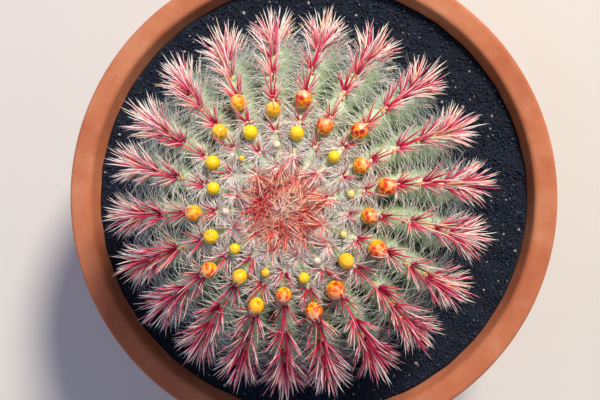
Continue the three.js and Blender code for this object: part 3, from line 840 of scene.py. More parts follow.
# ---- Flower buds ----
def flower_bud(number, bud, material):
    """A bud: an egg whose radius is sin(angle)^0.9, with overlapping tongue-shaped scales set by the golden
    angle; at each point the thickest scale shows, and its upper edge is a small step."""
    columns, rings, scales = 64, 46, 26
    # A scale's half width, the way from its tip to where it is that wide, and the way in which it thins, in
    # radians.
    half_width, widening, thinning = 0.42, 0.34, 0.4
    angle = (np.pi * (np.arange(rings) + 0.7) / (rings + 0.4))[:, None]
    turn = -even_turns(columns)[None]
    draw = np.random.default_rng(SEED + 20 + number)
    order = np.arange(scales)[:, None, None]
    tip_angle = 0.02 + 1.75 * ((order + 0.5) / scales) ** 0.72
    tip_turn = order * GOLDEN_ANGLE + 1.7 * number
    across = (turn - tip_turn + np.pi) % (2 * np.pi) - np.pi
    across = across * np.sin(np.maximum(angle, 0.12))
    below = angle - tip_angle
    width = half_width * np.sqrt(np.clip(below / widening, 0, 1))
    inside = smooth_step(width - np.abs(across), -0.02, 0.07) * (below > 0)
    thickness = inside * (0.35 + 0.65 * np.exp(-np.maximum(below, 0) / thinning))
    thickness = thickness * (1 - 0.3 * (across / half_width) ** 2)
    raised = thickness.max(axis=0)
    # Some scales have a redder streak than others, and those by the foot have none.
    strength = draw.uniform(0.15, 1.5, scales)[:, None, None] * smooth_step(-tip_angle, -1.7, -0.9)
    streak = smooth_step(width - np.abs(across), 0.03, 0.2) * smooth_step(-below, -0.75, -0.4) * strength
    marked = np.take_along_axis(streak, thickness.argmax(axis=0)[None], axis=0)[0]
    # A scale raises the sides by up to 7% and the ends by up to 3%.
    radius = bud["diameter"] / 2 * np.sin(angle) ** 0.9 * (1 + 0.05 * np.cos(angle)) * (0.93 + 0.07 * raised)
    along = bud["tall"] / 2 * (np.cos(angle) + 0 * turn) * (0.97 + 0.03 * raised)
    skin = bud["centre"] + along[..., None] * bud["out"]
    skin = skin + (radius * np.cos(turn))[..., None] * bud["down"]
    skin = skin + (radius * np.sin(turn))[..., None] * bud["side"]
    top = bud["centre"] + bud["out"] * bud["tall"] / 2 * 0.975
    foot = bud["centre"] - bud["out"] * bud["tall"] / 2
    points, faces = skin_between_poles(skin, top, foot)
    face = 0.5 + 0.32 * np.cos(angle) + 0.18 * np.sin(angle) * np.cos(turn)
    ripeness = (bud["ripeness"] + 1) / 2
    growth = np.stack([marked, face, np.full(marked.shape, ripeness)], -1).reshape(-1, 3)
    growth = np.concatenate([growth, [[0.0, 0.8, ripeness], [0.0, 0.2, ripeness]]])
    name = f"flower_bud_{number:02d}"
    new_piece(f"ripening_bud_{number:02d}", points, faces, material, name, growth=growth)


def wool_balls(material):
    """Buds still closed in wool: balls a little taller than wide, one on each of two ribs."""
    rib = np.array(RIBS_WITH_A_WOOL_BALL)
    turn = first_budding(rib) - 1
    run = areole_run(rib, turn) - BUD_ABOVE_AREOLE + WOOL_BALL_SHIFT
    place, out, down, side = crest_frame(rib_azimuth(rib, run), run)
    axes = np.stack([down, side, out * 1.1], axis=1) * WOOL_BALL_RADIUS
    centres = place + out * WOOL_BALL_RISE
    points, faces = repeated(unit_ball(14, 9), centres, axes)
    new_piece("wool_balls", points, faces, material, "cactus_stem")
    return centres, out


# ---- Gravel and pot ----
def wall_inside(height):
    """The radius of the pot's inside: a cone, one wall's thickness inside the outer one."""
    top = POT_RIM_RADIUS - RIM_BAND_STEP
    return lerp(POT_FOOT_RADIUS, top, height / POT_HEIGHT) - POT_WALL


def wall_outside(height):
    """The radius of the pot's outside below the band: a cone from the foot up."""
    return wall_inside(height) + POT_WALL


def bed_height(x, y):
    """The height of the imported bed: the corners of a ring-shaped grid raised and sunk in turn, as much as
    the cosine of 9 times the azimuth and twice the row, with even slopes between them."""
    inner, outer = CREST_AT_GRAVEL * BED_INNER_SHARE, wall_inside(GRAVEL_LEVEL)
    share = (np.hypot(x, y) - inner) / (outer - inner)
    row = np.clip(share, 0, 0.9999) * (GRAVEL_RINGS - 1)
    column = (np.arctan2(y, x) / (2 * np.pi) % 1) * GRAVEL_SIDES
    height = GRAVEL_LEVEL
    for row_step in (0, 1):
        for column_step in (0, 1):
            corner_row, corner = np.floor(row) + row_step, np.floor(column) + column_step
            raised = GRAVEL_RELIEF * (1 - 2 * ((corner_row + corner) % 2))
            raised = raised * np.cos(18 * np.pi * corner / GRAVEL_SIDES + 2 * corner_row)
            share = (1 - np.abs(row - corner_row)) * (1 - np.abs(column - corner))
            height = height + raised * share
    return height


def gravel_bed(material):
    """The bed that the stones lie on: a disc whose top follows bed_height from under the stem outwards, and
    whose side follows the pot's wall down to its flat foot."""
    columns, rows = 320, 40
    inner = CREST_AT_GRAVEL * BED_INNER_SHARE
    outer = wall_inside(GRAVEL_LEVEL) - BED_OFF_WALL
    radius = np.linspace(inner, outer, rows)[:, None]
    turn = even_turns(columns)[None]
    x, y = radius * np.cos(turn), radius * np.sin(turn)
    top = np.stack([x, y, bed_height(x, y) - BED_UNDER_STONES], -1)
    low = wall_inside(GRAVEL_FOOT) - BED_OFF_WALL
    rim = np.stack([low * np.cos(turn), low * np.sin(turn), GRAVEL_FOOT + 0 * turn], -1)
    poles = [0, 0, GRAVEL_LEVEL - 3], [0, 0, GRAVEL_FOOT]
    points, faces = skin_between_poles(np.concatenate([top, rim]), *poles)
    growth = np.tile([0.1, 0.5, 0.5], (len(points), 1))  # a dark tone, a painted shade for the gaps between the stones, and no pale grains
    new_piece("gravel_bed", points, faces, material, "lava_gravel", growth=growth)


def stone_places(draw):
    """Places on the bed in a jittered triangular grid, between the stem and the wall."""
    outer = wall_inside(GRAVEL_LEVEL) - STONE_OFF_WALL
    rows = np.arange(-outer, outer, STONE_PITCH * math.sqrt(3) / 2)
    columns = np.arange(-outer, outer, STONE_PITCH)
    y, x = np.meshgrid(rows, columns, indexing="ij")
    x = x + STONE_PITCH / 2 * (np.arange(len(rows)) % 2)[:, None]
    x = (x + draw.uniform(-STONE_JITTER, STONE_JITTER, x.shape) * STONE_PITCH).ravel()
    y = (y + draw.uniform(-STONE_JITTER, STONE_JITTER, y.shape) * STONE_PITCH).ravel()
    distance = np.hypot(x, y)
    kept = (distance < outer) & (distance > CREST_AT_GRAVEL - STONES_UNDER_STEM)
    return x[kept], y[kept]


def lava_stones(material):
    """Broken lava: 20-sided crystals with their corners moved in and out, squashed, and turned at random,
    which lie loose on the bed, in three pieces by size."""
    draw = np.random.default_rng(SEED + 7)
    x, y = stone_places(draw)
    count = len(x)
    radius = lerp(*STONE_RADIUS, draw.uniform(0, 1, count) ** 2.2)
    corners, faces = unit_crystal()
    corners = corners[None] * draw.uniform(0.74, 1.16, (count, len(corners), 1))
    first = unit(draw.normal(size=(count, 3)))
    second = unit(np.cross(first, unit(draw.normal(size=(count, 3)))))
    third = np.cross(first, second)
    stretch = draw.uniform(0.7, 1.1, (count, 3))
    axes = np.stack([first, second, third], axis=1) * (stretch * radius[:, None])[:, :, None]
    height = bed_height(x, y) + radius * draw.uniform(*STONE_RISE, count)
    centres = np.column_stack([x, y, height])
    # Most stones are of a dark tone. The second number picks the pale grains.
    growth = np.column_stack([draw.beta(2.4, 3.6, count), draw.uniform(0, 1, (count, 2))])
    size = np.digitize(radius, STONE_SIZES)
    for number, name in enumerate(("small_lava_stones", "middle_lava_stones", "large_lava_stones")):
        kept = size == number
        points, blocks = repeated((corners[kept], faces), centres[kept], axes[kept])
        shades = np.repeat(growth[kept], corners.shape[1], axis=0)
        new_piece(name, points, blocks, material, "lava_gravel", smooth=False, growth=shades)


def rounded_outline(corners, radii, steps):
    """A closed outline with each corner replaced by a parabola that starts and ends at its radius from it:
    back (1 - t)^2 + 2 corner t (1 - t) + ahead t^2."""
    radii = radii[:, None]
    back = corners + unit(np.roll(corners, 1, axis=0) - corners) * radii
    ahead = corners + unit(np.roll(corners, -1, axis=0) - corners) * radii
    t = np.linspace(0, 1, steps)[:, None, None]
    points = back * (1 - t) ** 2 + corners * 2 * t * (1 - t) + ahead * t**2
    return points.transpose(1, 0, 2).reshape(-1, 2)


def turned(outline, columns):
    """A closed outline of (radius, height) turned round the axis, clockwise in the outline and closed on
    itself both ways."""
    rows = len(outline)
    turn = even_turns(columns)[None]
    radius, height = outline[:, :1], outline[:, 1:]
    points = np.stack([radius * np.cos(turn), radius * np.sin(turn), height + 0 * turn], -1).reshape(-1, 3)
    row = np.arange(rows)[:, None] * columns
    below = (np.arange(rows)[:, None] + 1) % rows * columns
    column = np.arange(columns)[None]
    after = (column + 1) % columns
    faces = np.stack([row + column, below + column, below + after, row + after], -1).reshape(-1, 4)
    return points, [faces]


def terracotta_pot(material):
    """The bowl: one rounded outline, from the drain hole over the floor, up the inside, over the band and
    down the outside to the foot ring, turned round the axis."""
    band = POT_HEIGHT - RIM_BAND_HEIGHT
    ring = POT_FOOT_RADIUS - FOOT_RING_WIDTH
    # Radius, height, and how far from the corner its rounding starts.
    corners = [
        (DRAIN_RADIUS, FOOT_RECESS, 2),
        (DRAIN_RADIUS, POT_FLOOR, 2),
        (wall_inside(POT_FLOOR), POT_FLOOR, 12),
        (wall_inside(POT_HEIGHT), POT_HEIGHT, 7),
        (POT_RIM_RADIUS, POT_HEIGHT, 7),
        (POT_RIM_RADIUS, band, 6),
        (wall_outside(band) + 0.5, band, 3),
        (wall_outside(0), 0, 5),
        (ring, 0, 3),
        (ring - 3, FOOT_RECESS, 2),
    ]
    corners = np.array(corners)
    outline = rounded_outline(corners[:, :2], corners[:, 2], 7)
    points, faces = turned(outline, 192)
    new_piece("terracotta_bowl", points, faces, material, "pot")


# ---- Materials ----
# A Mix node's two colour inputs, and its settings for a plain mix of colours and for their product.
UNDER, OVER = 6, 7
PLAIN = dict(data_type="RGBA")
PRODUCT = dict(data_type="RGBA", blend_type="MULTIPLY")


def linear(hex_colour):
    """An sRGB hex colour as linear RGBA."""
    channels = np.array([int(hex_colour[i : i + 2], 16) for i in (1, 3, 5)]) / 255
    low = channels / 12.92
    high = ((channels + 0.055) / 1.055) ** 2.4
    return (*np.where(channels <= 0.04045, low, high), 1.0)


def fill(tree, node, inputs):
    """Sets a node's inputs: a socket is linked, a node is linked by the first output that it shows, and
    anything else is the input's own value."""
    for name, value in inputs.items():
        if isinstance(value, bpy.types.Node):
            value = next(socket for socket in value.outputs if socket.enabled)
        if isinstance(value, bpy.types.NodeSocket):
            tree.links.new(value, node.inputs[name])
        else:
            node.inputs[name].default_value = value


def add(tree, kind, inputs=None, stops=(), **settings):
    """Adds a shader node, with its settings, the stops of its ramp, and its inputs' values or links."""
    node = tree.nodes.new("ShaderNode" + kind)
    for name, value in settings.items():
        setattr(node, name, value)
    for index, (place, colour) in enumerate(stops):
        elements = node.color_ramp.elements
        stop = elements[index] if index < 2 else elements.new(place)  # a new ramp has two stops
        stop.position = place
        stop.color = linear(colour)
    fill(tree, node, inputs or {})
    return node


def new_material(name, roughness, ior):
    """An empty material with its shader's roughness and index of refraction, its node tree and its shader."""
    material = bpy.data.materials.new(name)
    material.use_nodes = True
    tree = material.node_tree
    shader = tree.nodes["Principled BSDF"]
    fill(tree, shader, {"Roughness": roughness, "IOR": ior})
    return material, tree, shader


def spine_material(name, young_stops, old_stops, straw):
    """Cactus spine: horn, grown dense and smooth, with a waxy gloss. It is red at the root and pale at the
    tip, and on an old spine the pale part reaches further down.

    growth holds the place along the spine, a random tint and the spine's age.
    """
    material, tree, shader = new_material(name, 0.36, 1.54)
    growth = add(tree, "Attribute", attribute_name="growth")
    along, tint, age = add(tree, "SeparateColor", {"Color": growth}).outputs
    # The tint moves the colours along the spine by up to half its length, either way.
    shift = add(tree, "Math", {0: tint, 1: 0.95}, operation="MULTIPLY")
    moved = add(tree, "Math", {0: along, 1: shift}, operation="ADD")
    place = add(tree, "Math", {0: moved, 1: 0.48}, operation="SUBTRACT", use_clamp=True)
    young = add(tree, "ValToRGB", {"Fac": place}, stops=young_stops)
    old = add(tree, "ValToRGB", {"Fac": place}, stops=old_stops)
    aged = add(tree, "Mix", {"Factor": age, UNDER: young, OVER: old}, **PLAIN)
    # One spine in seven is partly straw: the last seventh of what the tint leaves over after 37 rounds.
    rounds = add(tree, "Math", {0: tint, 1: 37.0}, operation="MULTIPLY")
    chance = add(tree, "Math", {0: rounds}, operation="FRACT")
    chosen = add(tree, "Math", {0: chance, 1: 0.86}, operation="GREATER_THAN")
    amount = add(tree, "Math", {0: chosen, 1: 0.6}, operation="MULTIPLY")
    colour = add(tree, "Mix", {"Factor": amount, UNDER: aged, OVER: linear(straw)}, **PLAIN)
    # Light passes about a millimetre into the horn, red the furthest.
    depth = {
        "Subsurface Weight": 0.5,
        "Subsurface Radius": (1.0, 0.35, 0.3),
        "Subsurface Scale": 0.0012,
    }
    fill(tree, shader, {"Base Color": colour, **depth})
    return material


def bristle_material():
    """White radial bristle: a dry hair that has grown hollow. It looks silky and silver white, a little rosy
    at the root, and greyer where it is old, partly from wear and partly as painted shade on the lower flanks.

    growth holds the place along the bristle, a random tint and the bristle's age.
    """
    material, tree, shader = new_material("dry_white_bristle", 0.5, 1.5)
    growth = add(tree, "Attribute", attribute_name="growth")
    along, tint, age = add(tree, "SeparateColor", {"Color": growth}).outputs
    stops = ((0.0, "#f4e4dc"), (0.12, "#ffffff"), (1.0, "#ffffff"))
    hair = add(tree, "ValToRGB", {"Fac": along}, stops=stops)
    stops = ((0.0, "#ffffff"), (0.75, "#fbfaf2"), (0.92, "#f2eae8"), (1.0, "#f0cfc8"))
    shade = add(tree, "ValToRGB", {"Fac": tint}, stops=stops)
    white = add(tree, "Mix", {"Factor": 1.0, UNDER: hair, OVER: shade}, **PRODUCT)
    # Old bristles grey to a blue grey: partly wear, partly painted shade on the lower flanks.
    stops = ((0.05, "#ffffff"), (0.3, "#ebf3e4"), (0.8, "#b2bebe"))
    worn = add(tree, "ValToRGB", {"Fac": age}, stops=stops)
    aged = add(tree, "Mix", {"Factor": 1.0, UNDER: white, OVER: worn}, **PRODUCT)
    # One young bristle in eight is rosy.
    chosen = add(tree, "Math", {0: tint, 1: 0.125}, operation="LESS_THAN")
    young = add(tree, "Math", {0: 0.3, 1: age}, operation="SUBTRACT")
    young = add(tree, "Math", {0: young, 1: 5.0}, operation="MULTIPLY", use_clamp=True)
    rosy = add(tree, "Math", {0: chosen, 1: young}, operation="MULTIPLY")
    colour = add(tree, "Mix", {"Factor": rosy, UNDER: aged, OVER: linear("#eeb4b0")}, **PLAIN)
    fill(tree, shader, {"Base Color": colour})
    return material


def wool_material(name, dark, pale):
    """Plant wool: matted hairs a few hundredths of a millimetre thick, drawn about 0.5 mm thick so that they
    show. It is quite matte, dark between its tufts and pale on them."""
    material, tree, shader = new_material(name, 0.95, 1.45)
    place = add(tree, "TexCoord").outputs["Object"]
    # Tufts about 1.2 mm across.
    tufts = add(tree, "TexNoise", {"Vector": place, "Scale": 800.0, "Detail": 2.0})
    colour = add(tree, "ValToRGB", {"Fac": tufts}, stops=((0.3, dark), (0.62, pale)))
    bump = add(tree, "Bump", {"Height": tufts, "Strength": 0.8, "Distance": 0.0006})
    fill(tree, shader, {"Base Color": colour, "Normal": bump})
    return material


def felt_material():
    """Areole felt: short wool, matted as it grows and quite matte. It is white on young areoles and wears to
    a grey tan on old ones.

    growth holds the areole's age.
    """
    material, tree, shader = new_material("areole_wool_felt", 0.95, 1.45)
    growth = add(tree, "Attribute", attribute_name="growth")
    age = add(tree, "SeparateColor", {"Color": growth}).outputs[0]
    place = add(tree, "TexCoord").outputs["Object"]
    stops = ((0.0, "#ecdcd2"), (0.5, "#d9bda0"), (1.0, "#a08468"))
    worn = add(tree, "ValToRGB", {"Fac": age}, stops=stops)
    # Tufts about 1.1 mm across, coarser than the real wool's so that they show.
    tufts = add(tree, "TexNoise", {"Vector": place, "Scale": 900.0, "Detail": 2.0})
    stops = ((0.3, "#b5a092"), (0.65, "#ffffff"))
    spots = add(tree, "ValToRGB", {"Fac": tufts}, stops=stops)
    colour = add(tree, "Mix", {"Factor": 1.0, UNDER: worn, OVER: spots}, **PRODUCT)
    bump = add(tree, "Bump", {"Height": tufts, "Strength": 0.8, "Distance": 0.0006})
    fill(tree, shader, {"Base Color": colour, "Normal": bump})
    return material


def gland_material():
    """Nectar gland: a small swelling that weeps and dries to a resin. It is glossy, and orange to yellow.

    growth holds a random number.
    """
    material, tree, shader = new_material("resinous_nectar_gland", 0.3, 1.5)
    growth = add(tree, "Attribute", attribute_name="growth")
    chance = add(tree, "SeparateColor", {"Color": growth}).outputs[0]
    stops = ((0.0, "#d8741a"), (0.5, "#e89a2a"), (1.0, "#e9b84a"))
    colour = add(tree, "ValToRGB", {"Fac": chance}, stops=stops)
    fill(tree, shader, {"Base Color": colour})
    return material


def skin_material():
    """Living cactus skin under a bloom of wax, which dulls its gloss: grey green, paler on the flanks, and
    darkened to near black into the furrow as painted shade.

    growth holds the distance from the crest, the place from crown to gravel and the nearness of an areole.
    """
    material, tree, shader = new_material("waxy_cactus_skin", 0.5, 1.45)
    place = add(tree, "TexCoord").outputs["Object"]
    growth = add(tree, "Attribute", attribute_name="growth")
    from_crest, down, near = add(tree, "SeparateColor", {"Color": growth}).outputs
    # Bloom worn off in patches 20 to 30 mm across.
    patches = {"Vector": place, "Scale": 38.0, "Detail": 5.0, "Roughness": 0.62}
    patches = add(tree, "TexNoise", patches)
    stops = ((0.32, "#9eb886"), (0.5, "#c0d4b0"), (0.66, "#dcead4"))
    bloom = add(tree, "ValToRGB", {"Fac": patches}, stops=stops)
    # Painted shade: the skin darkens from the flanks down into the furrow, near black at its bottom.
    stops = ((0.0, "#f2f4e8"), (0.3, "#ffffff"), (0.58, "#d8e4cc"), (0.8, "#82937a"), (1.0, "#28351f"))
    furrow = add(tree, "ValToRGB", {"Fac": from_crest}, stops=stops)
    skin = add(tree, "Mix", {"Factor": 1.0, UNDER: bloom, OVER: furrow}, **PRODUCT)
    # The crest near an areole is yellower.
    close = add(tree, "Math", {0: near, 1: 0.72}, operation="SUBTRACT")
    close = add(tree, "Math", {0: close, 1: 3.0}, operation="MULTIPLY", use_clamp=True)
    on_crest = add(tree, "Math", {0: 0.35, 1: from_crest}, operation="SUBTRACT")
    on_crest = add(tree, "Math", {0: on_crest, 1: 2.6}, operation="MULTIPLY", use_clamp=True)
    warm = add(tree, "Math", {0: close, 1: on_crest}, operation="MULTIPLY")
    skin = add(tree, "Mix", {"Factor": warm, UNDER: skin, OVER: linear("#c6bd72")}, **PLAIN)
    # Pale wool lies between the youngest areoles, in tufts about 7 mm across.
    young = add(tree, "Math", {0: 0.165, 1: down}, operation="SUBTRACT")
    young = add(tree, "Math", {0: young, 1: 12.0}, operation="MULTIPLY", use_clamp=True)
    tufts = add(tree, "TexNoise", {"Vector": place, "Scale": 150.0, "Detail": 2.0})
    tufts = add(tree, "Math", {0: tufts, 1: 0.42}, operation="SUBTRACT")
    tufts = add(tree, "Math", {0: tufts, 1: 7.0}, operation="MULTIPLY", use_clamp=True)
    young = add(tree, "Math", {0: young, 1: tufts}, operation="MULTIPLY")
    skin = add(tree, "Mix", {"Factor": young, UNDER: skin, OVER: linear("#dcdcc4")}, **PLAIN)
    # The roots of the red spines hide the skin of the crown.
    crown = add(tree, "Math", {0: 0.11, 1: down}, operation="SUBTRACT")
    crown = add(tree, "Math", {0: crown, 1: 24.0}, operation="MULTIPLY", use_clamp=True)
    skin = add(tree, "Mix", {"Factor": crown, UNDER: skin, OVER: linear("#cc2034")}, **PLAIN)
    # Corky tan skin creeps up from the gravel, with an edge that follows the patches.
    cork = add(tree, "Math", {0: down, 1: 0.84}, operation="SUBTRACT")
    cork = add(tree, "Math", {0: cork, 1: 8.0}, operation="MULTIPLY", use_clamp=True)
    edge = add(tree, "Math", {0: patches, 1: 1.5}, operation="MULTIPLY")
    edge = add(tree, "Math", {0: cork, 1: edge}, operation="MULTIPLY", use_clamp=True)
    skin = add(tree, "Mix", {"Factor": edge, UNDER: skin, OVER: linear("#97876a")}, **PLAIN)
    # Creases about 1.6 mm apart, which stand for pores too fine to show.
    creases = add(tree, "TexNoise", {"Vector": place, "Scale": 620.0, "Detail": 3.0})
    bump = add(tree, "Bump", {"Height": creases, "Strength": 0.3, "Distance": 0.0006})
    fill(tree, shader, {"Base Color": skin, "Normal": bump})
    return material


def bud_material():
    """Flower bud: tight scales with a coat of wax, half glossy. They are cream when young, then yellow, then
    orange with red middles.

    growth holds how near a scale's middle the point is, how far it faces up and down the rib, and ripeness.
    """
    material, tree, shader = new_material("waxy_bud_scales", 0.4, 1.5)
    place = add(tree, "TexCoord").outputs["Object"]
    growth = add(tree, "Attribute", attribute_name="growth")
    middle, face, ripe = add(tree, "SeparateColor", {"Color": growth}).outputs
    stops = ((0.0, "#f1dcc0"), (0.25, "#f3df86"), (0.5, "#ffd60e"), (0.75, "#ffcd0c"), (1.0, "#ffc50c"))
    yellow = add(tree, "ValToRGB", {"Fac": ripe}, stops=stops)
    past = add(tree, "Math", {0: ripe, 1: 0.5}, operation="SUBTRACT")
    redness = add(tree, "Math", {0: past, 1: 2.0}, operation="MULTIPLY", use_clamp=True)
    # Orange spreads from the top of a ripening bud in patches about 6 mm across, and the pale salmon at the
    # very top is a painted highlight.
    patches = add(tree, "TexNoise", {"Vector": place, "Scale": 160.0, "Detail": 3.0})
    spread = add(tree, "Math", {0: patches, 1: 0.5}, operation="MULTIPLY")
    spread = add(tree, "Math", {0: face, 1: spread}, operation="ADD")
    spread = add(tree, "Math", {0: spread, 1: 0.25}, operation="SUBTRACT")
    stops = ((0.42, "#ffcb0c"), (0.6, "#ffa20e"), (0.76, "#ff944c"), (0.88, "#ffbe9e"))
    orange = add(tree, "ValToRGB", {"Fac": spread}, stops=stops)
    amount = add(tree, "Math", {0: redness, 1: 1.5}, operation="MULTIPLY", use_clamp=True)
    body = add(tree, "Mix", {"Factor": amount, UNDER: yellow, OVER: orange}, **PLAIN)
    # Each scale's middle is red to red brown, broken up by a mottle about 4 mm across.
    streak = add(tree, "Math", {0: middle, 1: redness}, operation="MULTIPLY")
    mottle = {"Vector": place, "Scale": 260.0, "Detail": 3.0, "Roughness": 0.6}
    mottle = add(tree, "TexNoise", mottle)
    broken = add(tree, "Math", {0: mottle, 1: 0.3}, operation="SUBTRACT")
    broken = add(tree, "Math", {0: broken, 1: 4.6}, operation="MULTIPLY", use_clamp=True)
    streak = add(tree, "Math", {0: streak, 1: broken}, operation="MULTIPLY")
    stops = ((0.0, "#fb8a10"), (0.3, "#f4601a"), (0.62, "#e43a16"), (1.0, "#b8240e"))
    red = add(tree, "ValToRGB", {"Fac": streak}, stops=stops)
    amount = add(tree, "Math", {0: streak, 1: 2.6}, operation="MULTIPLY", use_clamp=True)
    colour = add(tree, "Mix", {"Factor": amount, UNDER: body, OVER: red}, **PLAIN)
    # Light passes 1 to 3 mm into the flesh, red the furthest.
    depth = {
        "Subsurface Weight": 0.12,
        "Subsurface Radius": (0.003, 0.0015, 0.0008),
        "Subsurface Scale": 1.0,
    }
    fill(tree, shader, {"Base Color": colour, **depth})
    return material


def lava_material():
    """Crushed basalt lava: black with a blue cast. Its broken faces are full of pinholes that swallow the
    gloss, so it is duller than solid basalt and its IOR is set low.

    growth holds the stone's tone and a random number.
    """
    material, tree, shader = new_material("crushed_black_lava", 0.9, 1.4)
    place = add(tree, "TexCoord").outputs["Object"]
    growth = add(tree, "Attribute", attribute_name="growth")
    tone, chance, _ = add(tree, "SeparateColor", {"Color": growth}).outputs
    stops = ((0.0, "#101724"), (0.35, "#1a2334"), (0.62, "#263147"), (0.84, "#3f4c68"), (1.0, "#8791ab"))
    stone = add(tree, "ValToRGB", {"Fac": tone}, stops=stops)
    # One stone in sixty is a pale grain.
    pale = add(tree, "Math", {0: chance, 1: 0.016}, operation="LESS_THAN")
    colour = add(tree, "Mix", {"Factor": pale, UNDER: stone, OVER: linear("#a9a79f")}, **PLAIN)
    # Bubbles about 1 mm across, coarser than the real pinholes so that they show.
    bubbles = add(tree, "TexNoise", {"Vector": place, "Scale": 900.0, "Detail": 2.0})
    bump = add(tree, "Bump", {"Height": bubbles, "Strength": 0.6, "Distance": 0.0008})
    fill(tree, shader, {"Base Color": colour, "Normal": bump})
    return material


def terracotta_material():
    """Fired terracotta, thrown on a wheel and unglazed: matte orange clay, cloudy from the kiln, with fine
    throwing rings and a pale bloom of lime."""
    material, tree, shader = new_material("fired_terracotta", 0.88, 1.5)
    place = add(tree, "TexCoord").outputs["Object"]
    # Clouds about 110 mm across.
    cloud = {"Vector": place, "Scale": 9.0, "Detail": 6.0, "Roughness": 0.62}
    cloud = add(tree, "TexNoise", cloud)
    stops = ((0.3, "#a95a3a"), (0.5, "#bd6f4b"), (0.7, "#cc8a66"))
    clay = add(tree, "ValToRGB", {"Fac": cloud}, stops=stops)
    # Lime in stains some 40 mm across, broken up down to a grain of 0.2 mm.
    stain = {"Vector": place, "Scale": 24.0, "Detail": 8.0, "Roughness": 0.72}
    stain = add(tree, "TexNoise", stain)
    lime = add(tree, "ValToRGB", {"Fac": stain}, stops=((0.54, "#000000"), (0.74, "#6b6b6b")))
    colour = add(tree, "Mix", {"Factor": lime, UNDER: clay, OVER: linear("#e4c9b4")}, **PLAIN)
    # Throwing rings 4 mm apart and the clay's grog, grains of about 0.9 mm.
    stretched = add(tree, "Mapping", {"Vector": place, "Scale": (3.0, 3.0, 250.0)})
    rings = add(tree, "TexNoise", {"Vector": stretched, "Scale": 1.0, "Detail": 2.0})
    ringed = add(tree, "Bump", {"Height": rings, "Strength": 0.35, "Distance": 0.0012})
    grog = add(tree, "TexNoise", {"Vector": place, "Scale": 1100.0, "Detail": 2.0})
    bumps = {"Height": grog, "Strength": 0.35, "Distance": 0.0005, "Normal": ringed}
    bump = add(tree, "Bump", bumps)
    fill(tree, shader, {"Base Color": colour, "Normal": bump})
    return material


def soil_material():
    """Potting mix, sifted compost with grit: dark brown crumbs with a few pale ones, quite dull."""
    material, tree, shader = new_material("sifted_potting_mix", 1.0, 1.4)
    place = add(tree, "TexCoord").outputs["Object"]
    # Crumbs about 3 mm across.
    crumbs = add(tree, "TexVoronoi", {"Vector": place, "Scale": 300.0})
    stops = ((0.0, "#1f150f"), (0.6, "#3d2b20"), (0.93, "#574231"), (1.0, "#b8ab98"))
    colour = add(tree, "ValToRGB", {"Fac": crumbs.outputs["Color"]}, stops=stops)
    bump = {"Height": crumbs.outputs["Distance"], "Strength": 0.9, "Distance": 0.002}
    bump = add(tree, "Bump", bump)
    fill(tree, shader, {"Base Color": colour, "Normal": bump})
    return material


# ---- Camera and light ----
CAMERA_DISTANCE = 1400  # from the middle of the stem, in millimetres
CAMERA_TILT_RIGHT = 5.45  # degrees
CAMERA_TILT_UP = 1.8  # degrees
PHOTO_WIDTH = 600
PHOTO_HEIGHT = 400
SCALE_AT_EQUATOR = 1.31  # millimetres a pixel
EQUATOR_ROW = 203  # the row of the photograph that the middle of the stem falls on


def photo_camera():
    """A camera over the plant, tilted to the right and up by the two angles, as the photograph was taken."""
    back = Vector((math.sin(math.radians(CAMERA_TILT_RIGHT)), math.sin(math.radians(CAMERA_TILT_UP)), 0))
    back.z = math.sqrt(1 - back.length_squared)
    up = (Vector((0, 1, 0)) - back * back.y).normalized()
    right = up.cross(back)
    data = bpy.data.cameras.new("photo_camera")
    data.sensor_width = 36
    data.lens = CAMERA_DISTANCE / SCALE_AT_EQUATOR * data.sensor_width / PHOTO_WIDTH
    camera = bpy.data.objects.new("photo_camera", data)
    bpy.context.scene.collection.objects.link(camera)
    rise = (EQUATOR_ROW - PHOTO_HEIGHT / 2) * SCALE_AT_EQUATOR
    place = Vector((0, 0, EQUATOR)) + back * CAMERA_DISTANCE + up * rise
    turn = Matrix((right, up, back)).transposed().to_4x4()
    camera.matrix_world = Matrix.Translation(place * MM) @ turn
    bpy.context.scene.camera = camera


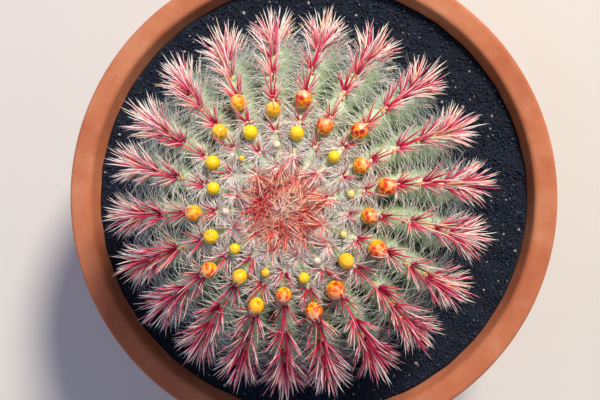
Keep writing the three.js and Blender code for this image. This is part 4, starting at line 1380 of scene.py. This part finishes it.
def studio():
    """A pale floor, one soft light from the upper right, a weak fill and an even pale surround."""
    material, tree, shader = new_material("pale_studio_floor", 0.9, 1.45)
    fill(tree, shader, {"Base Color": linear("#d9d7d2")})
    mesh = bpy.data.meshes.new("studio_floor")
    reach = 6.0  # metres
    corners = [(-reach, -reach, 0), (reach, -reach, 0), (reach, reach, 0), (-reach, reach, 0)]
    mesh.from_pydata(corners, [], [(0, 1, 2, 3)])
    mesh.materials.append(material)
    floor = bpy.data.objects.new("studio_floor", mesh)
    bpy.context.scene.collection.objects.link(floor)
    aim = Vector((0, 0, 0.42))  # metres: inside the stem
    # Name, place and size in metres, power in watts, and colour.
    lights = (
        ("key_light", (2.3, 4.2, 5.1), 1.5, 620, "#fff5e8"),
        ("fill_light", (-4.8, -0.6, 2.9), 3.2, 52, "#b4bbff"),
    )
    for name, place, size, power, colour in lights:
        data = bpy.data.lights.new(name, "AREA")
        data.shape = "DISK"
        data.size = size
        data.energy = power
        data.color = linear(colour)[:3]
        light = bpy.data.objects.new(name, data)
        light.location = place
        light.rotation_euler = (light.location - aim).to_track_quat("Z", "Y").to_euler()
        bpy.context.scene.collection.objects.link(light)
    world = bpy.data.worlds.new("pale_surround")
    world.use_nodes = True
    sky = world.node_tree.nodes["Background"]
    fill(world.node_tree, sky, {"Color": linear("#dfe6ff"), "Strength": 0.3})
    bpy.context.scene.world = world
    bpy.context.scene.view_settings.view_transform = "Standard"


# Colours from the root to the tip.
YOUNG_RED = ((0.0, "#c01044"), (0.2, "#dc3862"), (0.46, "#f09aa6"), (1.0, "#ffeee8"))
OLD_RED = ((0.0, "#b20c40"), (0.22, "#cc2458"), (0.38, "#df7f94"), (0.58, "#f0cccb"), (1.0, "#faece2"))
CORAL = ((0.0, "#dc0c30"), (0.22, "#fa4248"), (0.42, "#ff9078"), (0.68, "#ffc2a8"), (1.0, "#ffe8da"))
CRIMSON = ((0.0, "#b00a2c"), (0.35, "#d01434"), (0.7, "#e43c50"), (1.0, "#ff9a90"))

photo_camera()
studio()
terracotta_pot(terracotta_material())
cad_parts["potting_soil"].material_slots[0].material = soil_material()
lava = lava_material()
gravel_bed(lava)
lava_stones(lava)
stem_skin(skin_material())
horny = spine_material("horny_red_spine", YOUNG_RED, OLD_RED, "#ecca98")
areole_spines(horny)
spines_over_buds(horny)
crown_spines(spine_material("young_coral_spine", CORAL, CRIMSON, "#f0c490"), horny)
bristles(bristle_material())
areole_felt(felt_material())
nectar_glands(gland_material())
cream_wool = wool_material("cream_bud_wool", "#d8b79a", "#f4e8da")
balls, ball_outs = wool_balls(cream_wool)
tan_wool = wool_material("tan_crown_wool", "#b07c54", "#dcb088")
crown = np.array([[0, 0, EQUATOR + CROWN_RISE - CROWN_DIP]])
upright = np.array([[0.0, 0, 1]])
radius = np.array([10.0])
wool("crown_wool", crown, upright, radius, length=13, each=900, material=tan_wool, seed=SEED + 9)
young = [bud for bud in BUDS if bud["diameter"] < WOOLLY_BUD]
feet = np.array([bud["foot"] for bud in young] + list(balls))
outs = np.array([bud["out"] for bud in young] + list(ball_outs))
radii = np.array([bud["diameter"] * WOOL_SPREAD for bud in young] + [WOOL_BALL_RADIUS] * len(balls))
wool("bud_wool", feet, outs, radii, length=5, each=90, material=cream_wool, seed=SEED + 10)
waxy = bud_material()
for number, bud in enumerate(BUDS, 1):
    flower_bud(number, bud, waxy)
